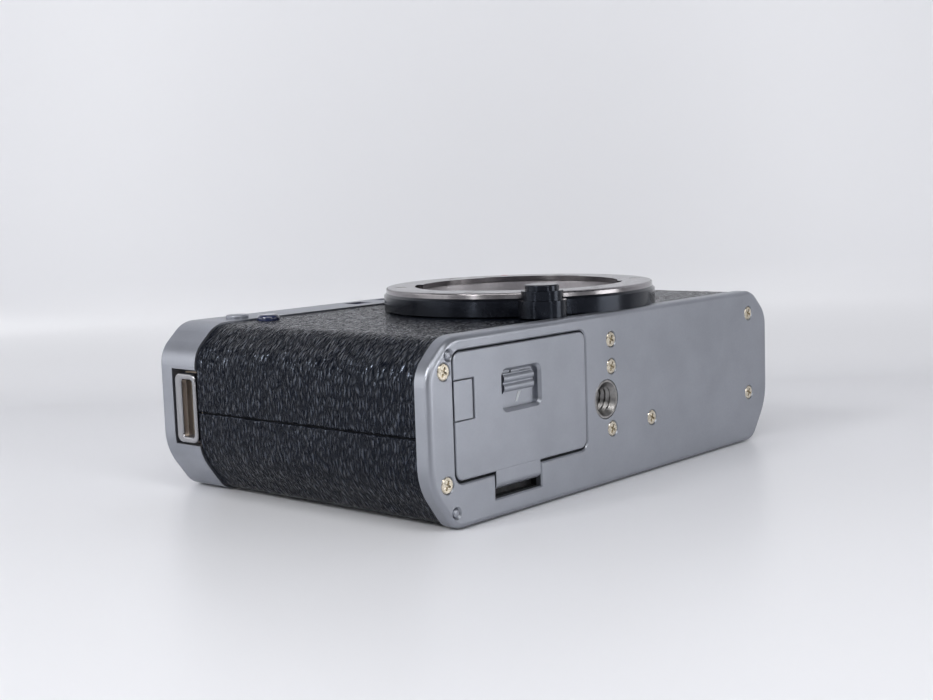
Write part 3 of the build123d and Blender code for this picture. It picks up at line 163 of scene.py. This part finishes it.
def silver_paint():
    """Satin metallic lacquer on a magnesium cover: fine flake and a faint orange peel."""
    s = Shader("silver_paint", Metallic=0.9, IOR=1.5)
    s.tint(s.spread(s.noise(9.0, 3.0), 0, 1), (0.290, 0.304, 0.339), (0.318, 0.332, 0.371))
    s.rough(s.noise(0.35, 2.0), 0.34, 0.42)
    s.bump((s.noise(0.12, 1.0), 0.0016), (s.noise(1.3, 2.0), 0.0022))
    return s.material


def leatherette():
    """Glossy black vinyl: long wrinkles along the wrap, shiny on top and dull in the creases."""
    s = Shader("leatherette", IOR=1.5)
    s.set("Specular Tint", BLUED)
    s.tint(s.spread(s.noise(1.1, 4.0), 0, 1), (0.0022, 0.0029, 0.0055), (0.0044, 0.0056, 0.0098))
    s.rough(s.noise(0.5, 3.0), 0.10, 0.16)
    wrinkle = s.add("ShaderNodeTexVoronoi", feature="DISTANCE_TO_EDGE")
    wrinkle.inputs["Scale"].default_value = 1.0
    sway = s.add("ShaderNodeTexNoise")
    sway.inputs["Scale"].default_value = 1 / SWAY_SIZE
    sway.inputs["Detail"].default_value = 2.0
    s.link(s.place, sway.inputs["Vector"])
    warp = s.add("ShaderNodeVectorMath", operation="MULTIPLY_ADD")
    warp.inputs[1].default_value = (WRINKLE_SWAY,) * 3
    s.link(sway.outputs["Color"], warp.inputs[0])
    s.link(s.place, warp.inputs[2])
    long = s.add("ShaderNodeMapping")
    long.inputs["Scale"].default_value = (1 / WRINKLE_LENGTH, 1 / WRINKLE_WIDTH,
                                          1 / WRINKLE_LENGTH)
    s.link(warp.outputs["Vector"], long.inputs["Vector"])
    s.link(long.outputs["Vector"], wrinkle.inputs["Vector"])
    ridge = s.spread(wrinkle.outputs["Distance"], 0, 1, 0.0, 0.38)
    s.link(s.spread(wrinkle.outputs["Distance"], 0.12, 1.0, 0.12, 0.42),
           s.surface.inputs["Specular IOR Level"])
    s.bump((ridge, 0.18), (s.noise(0.22, 2.0, 0.6), 0.005))
    return s.material


def die_cast():
    """Blackened magnesium casting with a grainy skin."""
    s = Shader("die_cast", Metallic=0.35)
    s.tint(s.spread(s.noise(3.0, 4.0), 0, 1), (0.016, 0.016, 0.018), (0.032, 0.032, 0.035))
    s.rough(s.noise(0.8, 3.0), 0.5, 0.68)
    s.bump((s.noise(0.25, 3.0), 0.012))
    return s.material


def plated(name, dark, light, low, high, grain=0.4):
    """Bare or plated metal with slight tarnish."""
    s = Shader(name, Metallic=1.0)
    s.tint(s.spread(s.noise(0.9, 3.0), 0, 1), dark, light)
    s.rough(s.noise(grain, 2.0), low, high)
    s.bump((s.noise(grain * 0.5, 2.0), 0.0012))
    return s.material


def strap_chrome_painted_reflection():
    """Chrome loop, with a painted bronze reflection on the plate behind it, chosen by its depth
    in the recess and made light to offset the recess's shade.
    """
    s = Shader("strap_chrome_painted_reflection", Metallic=1.0)
    split = s.add("ShaderNodeSeparateXYZ")
    s.link(s.place, split.inputs["Vector"])
    depth = s.add("ShaderNodeMath", operation="ABSOLUTE")
    s.link(split.outputs["X"], depth.inputs[0])
    plate = RIGHT - PLATE_DEPTH
    start, stop = plate - PLATE_CHANGE, plate + PLATE_CHANGE
    # painted reflection: the deep plate is tinted a light bronze that stands in for a reflection
    # and for the recess's shade; the loop keeps a chrome grey
    s.tint(s.spread(depth.outputs["Value"], 0, 1, start, stop),
           (0.88, 0.74, 0.61), (0.31, 0.31, 0.325))
    s.link(s.spread(depth.outputs["Value"], 0.55, 0.22, start, stop),
           s.surface.inputs["Roughness"])
    s.bump((s.noise(0.3, 2.0), 0.0015))
    return s.material


def turned(name, colour, low, high):
    """Lathe-turned metal: fine rings about the lens axis."""
    s = Shader(name, Metallic=1.0)
    s.set("Base Color", colour)
    centre = s.add("ShaderNodeMapping")
    centre.inputs["Location"].default_value = (-LENS.x, -LENS.y, 0)
    s.link(s.place, centre.inputs["Vector"])
    flat = s.add("ShaderNodeVectorMath", operation="MULTIPLY")
    flat.inputs[1].default_value = (1, 1, 0)
    s.link(centre.outputs["Vector"], flat.inputs[0])
    radius = s.add("ShaderNodeVectorMath", operation="LENGTH")
    s.link(flat.outputs["Vector"], radius.inputs[0])
    rings = s.add("ShaderNodeTexNoise", noise_dimensions="1D")
    rings.inputs["Scale"].default_value = 1 / TURNING_PITCH
    rings.inputs["Detail"].default_value = 2.0
    s.link(radius.outputs["Value"], rings.inputs["W"])
    s.rough(s.noise(2.0, 3.0), low, high)
    s.bump((rings.outputs["Fac"], 0.0018))
    return s.material


def black_lacquer(name, low, high, dark=(0.003, 0.0033, 0.005), light=(0.006, 0.0066, 0.009)):
    """Semi-gloss black enamel."""
    s = Shader(name, Specular_IOR_Level=0.28)
    s.set("Specular Tint", BLUED)
    s.tint(s.spread(s.noise(2.0, 3.0), 0, 1), dark, light)
    s.rough(s.noise(0.6, 2.0), low, high)
    s.bump((s.noise(0.3, 2.0), 0.002))
    return s.material


def plastic(name, dark, light, low, high, grain=0.2, height=0.006, **values):
    """Moulded plastic with a spark-eroded grain."""
    s = Shader(name, **values)
    s.tint(s.spread(s.noise(4.0, 3.0), 0, 1), dark, light)
    s.rough(s.noise(0.7, 2.0), low, high)
    s.bump((s.noise(grain, 2.0), height))
    return s.material


def glass(name, colour):
    """Coated optical glass."""
    s = Shader(name, Transmission_Weight=1.0, IOR=1.52, Roughness=0.03, Coat_Weight=0.5)
    s.set("Base Color", colour)
    s.set("Coat Tint", (0.75, 0.7, 1.0))
    s.bump((s.noise(6.0, 1.0), 0.0006))
    return s.material


def circuit():
    """Solder mask over copper tracks."""
    s = Shader("circuit", Specular_IOR_Level=0.5, Coat_Weight=0.4, Coat_Roughness=0.2)
    tracks = s.cells(2.4)
    s.tint(s.spread(tracks, 1, 0, 0.06, 0.1), (0.012, 0.06, 0.022), (0.03, 0.13, 0.045))
    s.rough(s.noise(1.0), 0.3, 0.45)
    s.bump((s.spread(tracks, 1, 0, 0.06, 0.1), 0.02))
    return s.material


MATERIALS = {
    "silver_paint": silver_paint(),
    "leatherette": leatherette(),
    "die_cast": die_cast(),
    "brass_screw": plated("brass_screw", (0.56, 0.50, 0.39), (0.76, 0.70, 0.59), 0.22, 0.34),
    "chrome": plated("chrome", (0.74, 0.74, 0.75), (0.83, 0.83, 0.84), 0.10, 0.17),
    "black_paint": black_lacquer("black_paint", 0.12, 0.18),
    "black_metal": black_lacquer("black_metal", 0.42, 0.55,
                                 (0.010, 0.010, 0.012), (0.02, 0.02, 0.023)),
    "inner_black": plastic("inner_black", (0.012, 0.012, 0.013), (0.02, 0.02, 0.022), 0.45, 0.6),
    "steel": plated("steel", (0.50, 0.50, 0.51), (0.62, 0.61, 0.60), 0.24, 0.36),
    "spring_steel": plated("spring_steel", (0.42, 0.42, 0.43), (0.55, 0.55, 0.56), 0.28, 0.4),
    "glass": glass("glass", (0.93, 0.95, 1.0)),
    "frosted": plastic("frosted", (0.62, 0.65, 0.68), (0.72, 0.75, 0.78), 0.35, 0.5,
                       Transmission_Weight=0.25),
    "lamp": plastic("lamp", (0.012, 0.016, 0.05), (0.02, 0.028, 0.08), 0.12, 0.2,
                    height=0.001, Coat_Weight=0.6),
    "circuit": circuit(),
    "index_red": plastic("index_red", (0.42, 0.012, 0.012), (0.52, 0.02, 0.018), 0.22, 0.3,
                         height=0.001),
    "cell": plated("cell", (0.6, 0.6, 0.61), (0.7, 0.7, 0.71), 0.2, 0.3),
}
for row in frame["record"]["subparts"]:
    NODES[row["node"]].data.materials.clear()
    NODES[row["node"]].data.materials.append(MATERIALS[row["material_slot"]])
FLANGE_CHROME = turned("flange_chrome", (0.27, 0.258, 0.265), 0.16, 0.24)
THROAT_METAL = plated("throat_metal", (0.56, 0.54, 0.565), (0.61, 0.585, 0.61), 0.36, 0.44)
NODES["bayonet_flange"].data.materials[0] = FLANGE_CHROME
STRAP_CHROME_AND_PAINTED_REFLECTION = strap_chrome_painted_reflection()
NODES["strap_loop_grip_end"].data.materials[0] = STRAP_CHROME_AND_PAINTED_REFLECTION
NODES["strap_loop_far_end"].data.materials[0] = STRAP_CHROME_AND_PAINTED_REFLECTION


# ==== mesh helpers ===========================================================================
def make_piece(shape, name, material):
    """Turn a bmesh into an object of one material, in the scene."""
    mesh = bpy.data.meshes.new(name)
    shape.to_mesh(mesh)
    shape.free()
    mesh.materials.append(material)
    piece = bpy.data.objects.new(name, mesh)
    scene.collection.objects.link(piece)
    return piece


def circle(shape, centre, radius, z, sides):
    """Ring of vertices about an axis along Z."""
    turns = [math.tau * k / sides for k in range(sides)]
    return [shape.verts.new((centre.x + radius * math.cos(turn),
                             centre.y + radius * math.sin(turn), z)) for turn in turns]


def bridge(shape, a, b):
    """Band of faces between two closed rings of as many vertices."""
    for k in range(len(a)):
        n = (k + 1) % len(a)
        shape.faces.new((a[k], a[n], b[n], b[k]))


# ==== leatherettes: displaced sheets =========================================================
PEBBLE_ALONG = 2.6 * MM     # pebble length round the body
PEBBLE_ACROSS = 0.95 * MM   # pebble width from base to top
PEBBLE_HEIGHT = 0.12 * MM
STEP_ALONG = 0.42 * MM
STEP_ACROSS = 0.24 * MM
SKIN = 0.9 * MM
HIDDEN_SKIN = 0.3 * MM      # part of the skin's depth that the turned edge leaves out
PEBBLE_SINK = 0.85          # share of the pebble height that lies below the CAD face
TURN_IN = 0.25 * MM         # width of the turned-in edge
TURN_DOWN = 0.03 * MM       # depth of the turned-in edge
BACK_SHIFT = 50 * MM        # the back sheet takes another part of the pebble pattern
FRONT_ROUND = 6.2 * MM      # rounding of the leather at both ends of the front chamfers
SIDE_ROUND = 11.7 * MM      # between the ends and the back chamfers
BACK_ROUND = 4.1 * MM       # between the back chamfers and the back
HOLE_REACH = 3 * MM         # how deep behind a face a hole is cut


def hashed(i, j, salt):
    """Repeatable pseudo-random number from 0 to 1 for each whole-number cell."""
    value = np.sin(i * 127.1 + j * 311.7 + salt * 74.7) * 43758.5453
    return value - np.floor(value)


def smooth_noise(u, v, salt):
    """Value noise of two coordinates, one feature a unit."""
    iu, iv = np.floor(u), np.floor(v)
    fu, fv = u - iu, v - iv
    fu, fv = fu * fu * (3 - 2 * fu), fv * fv * (3 - 2 * fv)
    low = hashed(iu, iv, salt) * (1 - fu) + hashed(iu + 1, iv, salt) * fu
    high = hashed(iu, iv + 1, salt) * (1 - fu) + hashed(iu + 1, iv + 1, salt) * fu
    return low * (1 - fv) + high * fv


def pebbles(u, v):
    """Height of the leather grain at (u, v) in metres, about 0 to 1: domed cells and creases."""
    sway = smooth_noise(u / (2.6 * MM), v / (2.2 * MM), 5) - 0.5
    lean = smooth_noise(u / (5.0 * MM), v / (4.0 * MM), 6) - 0.5
    a = u / PEBBLE_ALONG + 0.55 * lean
    b = v / PEBBLE_ACROSS + 0.9 * sway + 0.22 * a
    cell_a, cell_b = np.floor(a), np.floor(b)
    nearest = np.full(u.shape, 9.0)
    second = np.full(u.shape, 9.0)
    tall = np.zeros(u.shape)
    for da in (-1, 0, 1):
        for db in (-1, 0, 1):
            i, j = cell_a + da, cell_b + db
            pa = i + 0.15 + 0.7 * hashed(i, j, 1)
            pb = j + 0.15 + 0.7 * hashed(i, j, 2)
            away = np.hypot(a - pa, b - pb)
            closer = away < nearest
            second = np.where(closer, nearest, np.minimum(second, away))
            tall = np.where(closer, hashed(i, j, 3), tall)
            nearest = np.where(closer, away, nearest)
    crease = np.clip((second - nearest) / 0.42, 0, 1)
    dome = crease * (2 - crease)
    return dome * (0.62 + 0.38 * tall) + 0.12 * smooth_noise(u / (0.5 * MM), v / (0.4 * MM), 8)


def rounded_outline(corners, steps=7):
    """Points along an open path of (x, z, radius) corners, with its inner corners rounded."""
    points = [Vector(corners[0][:2])]
    for before, corner, after in zip(corners, corners[1:], corners[2:]):
        radius = corner[2]
        before, corner, after = Vector(before[:2]), Vector(corner[:2]), Vector(after[:2])
        to_before = (before - corner).normalized()
        to_after = (after - corner).normalized()
        half = to_before.angle(to_after) / 2
        reach = radius / math.tan(half)
        centre = corner + (to_before + to_after).normalized() * (radius / math.sin(half))
        start = corner + to_before * reach - centre
        turn = start.angle_signed(corner + to_after * reach - centre)
        for step in range(steps + 1):
            angle = -turn * step / steps
            points.append(centre + Matrix.Rotation(angle, 2) @ start)
    points.append(Vector(corners[-1][:2]))
    return points


def along(points, spacing):
    """Evenly spaced places, outward normals and distances along an outline of (x, z) points."""
    line = np.array([p[:] for p in points])
    runs = np.hypot(*np.diff(line, axis=0).T)
    distance = np.concatenate([[0], np.cumsum(runs)])
    keep = np.concatenate([[True], runs > 1e-9])
    count = int(distance[-1] / spacing)
    at = np.linspace(0, distance[-1], count + 1)
    places = np.stack([np.interp(at, distance[keep], line[keep, k]) for k in (0, 1)], axis=1)
    tangent = np.gradient(places, axis=0)
    tangent /= np.linalg.norm(tangent, axis=1)[:, None]
    return places, np.stack([-tangent[:, 1], tangent[:, 0]], axis=1), at


def leather_sheet(name, node, corners, flip, holes):
    """Grid over the outline, displaced by the pebbles, with turned-in edges and holes cut out."""
    low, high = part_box(node)
    places, normals, at = along(rounded_outline(corners), STEP_ALONG)
    rows = int((high.y - low.y) / STEP_ACROSS)
    heights = np.linspace(low.y, high.y, rows + 1)
    if flip:
        normals = -normals
    u, v = np.meshgrid(at, heights, indexing="ij")
    height = pebbles(u + (BACK_SHIFT if flip else 0), v - low.y) * PEBBLE_HEIGHT
    edge = np.minimum(np.minimum(u, at[-1] - u), np.minimum(v - low.y, high.y - v))
    turn_in = np.clip(1 - edge / TURN_IN, 0, 1) ** 2
    height = height * (1 - turn_in) - PEBBLE_HEIGHT * PEBBLE_SINK - turn_in * TURN_DOWN
    x = places[:, 0][:, None] + normals[:, 0][:, None] * height
    z = places[:, 1][:, None] + normals[:, 1][:, None] * height
    columns = len(at)
    verts = np.stack([x, v, z], axis=2).reshape(-1, 3)
    sheet = bmesh.new()
    made = [sheet.verts.new(p) for p in verts]
    for i in range(columns - 1):
        for j in range(rows):
            k = i * (rows + 1) + j
            ring = (made[k], made[k + rows + 1], made[k + rows + 2], made[k + 1])
            centre = (ring[0].co + ring[2].co) / 2
            if not any(inside(centre) for inside in holes):
                sheet.faces.new(ring if not flip else ring[::-1])
    bmesh.ops.delete(sheet, geom=[p for p in sheet.verts if not p.link_faces], context="VERTS")
    inward = {}
    sheet.normal_update()
    border = [e for e in sheet.edges if e.is_boundary]
    for e in border:
        for p in e.verts:
            inward[p] = p.normal.copy()
    extruded = bmesh.ops.extrude_edge_only(sheet, edges=border)["geom"]
    for p in (g for g in extruded if isinstance(g, bmesh.types.BMVert)):
        nearest = [e.other_vert(p) for e in p.link_edges if e.other_vert(p) in inward]
        p.co = nearest[0].co - inward[nearest[0]] * (SKIN - HIDDEN_SKIN)
    piece = make_piece(sheet, name, MATERIALS["leatherette"])
    piece.data.shade_smooth()
    return piece


def round_hole(centre, radius):
    """Test for a round hole through the front."""
    return lambda p: (p.z > DEPTH - HOLE_REACH
                      and math.hypot(p.x - centre.x, p.y - centre.y) < radius)


def square_hole(low, high, margin):
    """Test for a square hole through the back, wider than its box by the margin."""
    return lambda p: (p.z < HOLE_REACH and low.x - margin < p.x < high.x + margin
                      and low.y - margin < p.y < high.y + margin)


MOUNT_OPENING = 27.2 * MM   # radius of the opening under the lens mount
LAMP_GAP = 0.05 * MM
WINDOW_GAP = 0.1 * MM
CATCH_GAP = 0.3 * MM
CATCH_REACH = 4.4 * MM      # of the opening, from the catch's middle towards the grip end
CATCH_TRAVEL = 2.05 * MM    # the opening leaves room for the sliding catch
FRONT_SHORT = 2.0 * MM      # the front sheet ends this far above the hinge
BACK_SHORT = 1.9 * MM       # and the back sheet this far below it


def leatherettes():
    """The front sheet on the body, and the back sheet on the door."""
    front_low, front_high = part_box("front_leatherette")
    back_low, back_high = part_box("back_leatherette")
    outer = (front_low.x, front_high.x)
    front_run, front_rise = 6.1 * MM, 5.6 * MM
    back_run, back_rise = 6.4 * MM, 8.6 * MM
    top = front_high.z
    front = [
        (outer[0], front_low.z, 0), (outer[0], top - front_rise, FRONT_ROUND),
        (outer[0] + front_run, top, FRONT_ROUND), (outer[1] - front_run, top, FRONT_ROUND),
        (outer[1], top - front_rise, FRONT_ROUND), (outer[1], front_low.z + FRONT_SHORT, 0),
    ]
    lamp_low, lamp_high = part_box("self_timer_lamp")
    piece = leather_sheet(
        "front_leather_skin", "front_leatherette", front, False,
        [round_hole(LENS, MOUNT_OPENING),
         round_hole(middle("self_timer_lamp"), (lamp_high.x - lamp_low.x) / 2 + LAMP_GAP)])
    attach(piece, "camera_body")
    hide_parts("front_leatherette")
    bottom = back_low.z
    back = [
        (outer[0], back_high.z, 0), (outer[0], bottom + back_rise, SIDE_ROUND),
        (outer[0] + back_run, bottom, BACK_ROUND), (outer[1] - back_run, bottom, BACK_ROUND),
        (outer[1], bottom + back_rise, SIDE_ROUND), (outer[1], back_high.z - BACK_SHORT, 0),
    ]
    window_low, window_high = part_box("cassette_window")
    catch_low, catch_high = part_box("back_catch")
    catch_low.x = middle("back_catch").x - CATCH_REACH
    catch_high.x += CATCH_TRAVEL
    piece = leather_sheet(
        "back_leather_skin", "back_leatherette", back, True,
        [square_hole(window_low, window_high, WINDOW_GAP),
         square_hole(catch_low, catch_high, CATCH_GAP)])
    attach(piece, "back_door")
    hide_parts("back_leatherette")


leatherettes()


# ==== tripod socket: a turned bush with a real thread ========================================
THREAD_PITCH = 1.27 * MM    # 20 threads to the inch
THREAD_CREST = 2.6 * MM
THREAD_DEPTH = 0.55 * MM
THREAD_STEPS = 10           # rows in one pitch
THREAD_SIDES = 64
BUSH_BEVEL = 0.12 * MM
MOUTH_RADIUS = 3.5 * MM     # of the countersink
COUNTERSINK = 0.9 * MM


def tripod_bush():
    """Closed ring mesh whose bore is cut by a helical thread."""
    low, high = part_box("tripod_socket")
    outer = (high.x - low.x) / 2
    rows = [(outer, high.y, 0), (outer, low.y + BUSH_BEVEL, 0),
            (outer - BUSH_BEVEL, low.y, 0), (MOUTH_RADIUS, low.y, 0)]
    count = int((high.y - low.y - COUNTERSINK) / THREAD_PITCH * THREAD_STEPS)
    start = low.y + COUNTERSINK
    rows += [(THREAD_CREST, start + (high.y - start) * k / count, 1) for k in range(count + 1)]
    bush = bmesh.new()
    rings = []
    for radius, y, threaded in rows:
        ring = []
        for side in range(THREAD_SIDES):
            turn = side / THREAD_SIDES
            phase = (y / THREAD_PITCH + turn) % 1
            groove = (1 - abs(2 * phase - 1)) * THREAD_DEPTH * threaded
            angle = 2 * math.pi * turn
            ring.append(bush.verts.new((TRIPOD.x + (radius + groove) * math.cos(angle), y,
                                        TRIPOD.z + (radius + groove) * math.sin(angle))))
        rings.append(ring)
    for a, b in zip(rings, rings[1:] + rings[:1]):
        bridge(bush, a, b)
    bmesh.ops.recalc_face_normals(bush, faces=bush.faces)
    steel = plated("bush_steel", (0.24, 0.235, 0.235), (0.34, 0.33, 0.32), 0.30, 0.42)
    piece = make_piece(bush, "tripod_bush", steel)
    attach(piece, "camera_body")
    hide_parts("tripod_socket")


# ==== small pieces on the base and the mount =================================================
MARK_X = 25.6 * MM          # lower end of the pointer, from the grip end
MARK_Z = 20.75 * MM
MARK_OUTLINE = [(-0.1 * MM, 0.0), (0.45 * MM, 0.0), (1.75 * MM, 1.9 * MM), (0.85 * MM, 1.9 * MM)]
RECESS_DEPTH = 1.4 * MM
MARK_PROUD = 0.055 * MM
MARK_ROOT = 0.02 * MM       # how far it is set into the floor of the recess
TUBE_OUTER = 24.2 * MM
TUBE_INNER = 23.1 * MM
TUBE_CHAMFER = 0.1 * MM
TUBE_SIDES = 192
DOT_SIDES = 24


def latch_mark():
    """Small white pointer on the floor of the latch recess, showing which way it slides."""
    floor = BASE + RECESS_DEPTH
    pointer = bmesh.new()
    layers = []
    for y in (floor - MARK_PROUD, floor + MARK_ROOT):
        layers.append([pointer.verts.new((LEFT + MARK_X + a, y, MARK_Z + b))
                       for a, b in MARK_OUTLINE])
    pointer.faces.new(layers[0])
    pointer.faces.new(layers[1][::-1])
    bridge(pointer, layers[0], layers[1])
    bmesh.ops.recalc_face_normals(pointer, faces=pointer.faces)
    piece = make_piece(pointer, "latch_mark", MATERIALS["frosted"])
    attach(piece, "battery_door")


def throat_tube():
    """Smooth tube behind the flange, with a chamfer at its front edge."""
    low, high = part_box("throat_liner")
    rows = [(TUBE_INNER, low.z), (TUBE_INNER, high.z - TUBE_CHAMFER),
            (TUBE_INNER + TUBE_CHAMFER, high.z), (TUBE_OUTER, high.z), (TUBE_OUTER, low.z)]
    tube = bmesh.new()
    rings = [circle(tube, LENS, radius, z, TUBE_SIDES) for radius, z in rows]
    for a, b in zip(rings, rings[1:] + rings[:1]):
        bridge(tube, a, b)
    bmesh.ops.recalc_face_normals(tube, faces=tube.faces)
    piece = make_piece(tube, "throat_tube", THROAT_METAL)
    for face in piece.data.polygons:
        face.use_smooth = abs(face.normal.z) < 0.5
    piece.data.set_sharp_from_angle(angle=math.radians(40))
    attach(piece, "camera_body")
    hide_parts("throat_liner")


def index_dot():
    """Red enamel dot for lining up a lens, almost flush with the flange."""
    low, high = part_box("lens_index_dot")
    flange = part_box("bayonet_flange")[1].z
    centre = (low + high) / 2
    radius = (high.x - low.x) / 2
    rows = [(1.0, low.z), (1.0, flange - 0.02 * MM), (0.8, flange + 0.02 * MM),
            (0.4, flange + 0.04 * MM)]
    dot = bmesh.new()
    rings = [circle(dot, centre, share * radius, z, DOT_SIDES) for share, z in rows]
    for a, b in zip(rings, rings[1:]):
        bridge(dot, a, b)
    dot.faces.new(rings[0][::-1])
    dot.faces.new(rings[-1])
    piece = make_piece(dot, "index_dot", MATERIALS["index_red"])
    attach(piece, "camera_body")
    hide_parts("lens_index_dot")


tripod_bush()
latch_mark()
throat_tube()
index_dot()


# ==== stage, light and camera ================================================================
FLOOR_NEAR = -1.6           # of the table, along the camera's view
BEND_START = 0.105          # where the table begins to curve up
BEND_RADIUS = 0.035
BEND_STEPS = 24
BACKDROP_TOP = 2.4
STAGE_HALF_WIDTH = 1.4
STAGE_DROP = 0.0002         # the table lies this far below the object


def aim(obj, place, target):
    """Put a light somewhere, shining at a target."""
    obj.location = place
    obj.rotation_euler = (Vector(target) - Vector(place)).to_track_quat("-Z", "Y").to_euler()


def studio():
    """Glossy white table that curves up into a pale backdrop, square to the camera's view."""
    azimuth = math.radians(CAMERA_AZIMUTH)
    forward = Vector((-math.sin(azimuth), math.cos(azimuth), 0))
    side = Vector((math.cos(azimuth), math.sin(azimuth), 0))
    profile = [(FLOOR_NEAR, 0.0), (0.0, 0.0), (0.05, 0.0)]
    for step in range(BEND_STEPS + 1):
        angle = math.radians(90 * step / BEND_STEPS)
        profile.append((BEND_START + BEND_RADIUS * math.sin(angle),
                        BEND_RADIUS - BEND_RADIUS * math.cos(angle)))
    profile.append((BEND_START + BEND_RADIUS, BACKDROP_TOP))
    sweep = bmesh.new()
    rows = []
    for reach, height in profile:
        rows.append([sweep.verts.new(forward * reach + side * s
                                     + Vector((0, 0, height - STAGE_DROP)))
                     for s in (-STAGE_HALF_WIDTH, STAGE_HALF_WIDTH)])
    for a, b in zip(rows, rows[1:]):
        sweep.faces.new((a[0], a[1], b[1], b[0]))
    s = Shader("table_surface", Specular_IOR_Level=0.5, Roughness=0.32)
    s.tint(s.spread(s.noise(400.0, 2.0), 0, 1), (0.785, 0.79, 0.82), (0.805, 0.81, 0.84))
    s.bump((s.noise(60.0, 2.0), 0.02))
    # the backdrop shows only its front, so it hides nothing when the object is seen from behind
    face = s.add("ShaderNodeNewGeometry")
    clear = s.add("ShaderNodeBsdfTransparent")
    one_sided = s.add("ShaderNodeMixShader")
    s.link(face.outputs["Backfacing"], one_sided.inputs["Fac"])
    s.link(s.surface.outputs["BSDF"], one_sided.inputs[1])
    s.link(clear.outputs["BSDF"], one_sided.inputs[2])
    s.link(one_sided.outputs["Shader"], s.nodes["Material Output"].inputs["Surface"])
    stage = make_piece(sweep, "table_and_backdrop", s.material)
    stage.data.shade_smooth()


def softbox(name, place, target, size, power):
    """Rectangular area light of size metres and power watts, aimed at target."""
    light = bpy.data.lights.new(name, "AREA")
    light.shape = "RECTANGLE"
    light.size, light.size_y = size
    light.energy = power
    obj = bpy.data.objects.new(name, light)
    scene.collection.objects.link(obj)
    aim(obj, place, target)


CAMERA_AZIMUTH = -48.785
CAMERA_ELEVATION = 6.629
CAMERA_ROLL = -1.93
CAMERA_DISTANCE = 0.24893
CAMERA_LENS = 53.83
TARGET = Vector((LEFT + 10.54 * MM, BASE, 32.2 * MM))


def camera():
    """The camera that looks at the base and the grip end from just above the table."""
    a, e, r = (math.radians(t) for t in (CAMERA_AZIMUTH, CAMERA_ELEVATION, CAMERA_ROLL))
    back = Vector((math.sin(a) * math.cos(e), -math.cos(a) * math.cos(e), math.sin(e)))
    right = Vector((math.cos(a), math.sin(a), 0))
    up = back.cross(right)
    rolled_right = math.cos(r) * right + math.sin(r) * up
    rolled_up = math.cos(r) * up - math.sin(r) * right
    place = TARGET + back * CAMERA_DISTANCE
    data = bpy.data.cameras.new("camera")
    data.lens = CAMERA_LENS
    data.sensor_width = 36.0
    data.clip_start = 0.01
    obj = bpy.data.objects.new("camera", data)
    scene.collection.objects.link(obj)
    turn = Matrix((rolled_right, rolled_up, back)).transposed().to_4x4()
    obj.matrix_world = Matrix.Translation(place) @ turn
    scene.camera = obj


def around(azimuth, elevation, distance):
    """Point seen from the object at the given angles, measured as the camera's own are."""
    a, e = math.radians(azimuth), math.radians(elevation)
    return Vector((math.sin(a) * math.cos(e), -math.cos(a) * math.cos(e), math.sin(e))) * distance


def lights():
    """Dim room, with softboxes above, left, right and ahead, and keys and strips for glints."""
    world = bpy.data.worlds.new("room")
    scene.world = world
    world.use_nodes = True
    background = world.node_tree.nodes["Background"]
    background.inputs["Color"].default_value = (0.84, 0.87, 0.95, 1)
    background.inputs["Strength"].default_value = 0.10
    softbox("overhead", (-0.29, -0.26, 0.46), (-0.25, -0.22, 0), (0.40, 0.40), 1.25)
    softbox("left_wall", (-0.80, 0.68, 0.20), (0, 0, 0.03), (0.8, 0.5), 2.3)
    softbox("glint", around(-100, 36, 0.9), (0, 0, 0.02), (0.16, 0.16), 1.9)
    softbox("strip_left", (*around(-86, 0, 0.36).xy, 0.14), (0, 0, 0.03), (0.02, 0.26), 0.20)
    softbox("strip_right", (*around(-12, 0, 0.36).xy, 0.14), (0, 0, 0.03), (0.02, 0.26), 0.20)
    softbox("front_wash", around(-52, 26, 1.2), (0.1, 0.1, 0.05), (0.6, 0.3), 0.3)
    softbox("fill_right", around(27, 7, 0.6), (0, 0, 0.02), (0.22, 0.22), 0.85)
    softbox("key_left", around(CAMERA_AZIMUTH - 36, 42, 0.8), (0, 0, 0.02), (0.05, 0.05), 0.35)
    softbox("key_right", around(CAMERA_AZIMUTH + 33, 42, 0.8), (0, 0, 0.02), (0.05, 0.05), 0.3)


studio()
camera()
lights()
scene.view_settings.view_transform = "Standard"
scene.view_settings.look = "None"
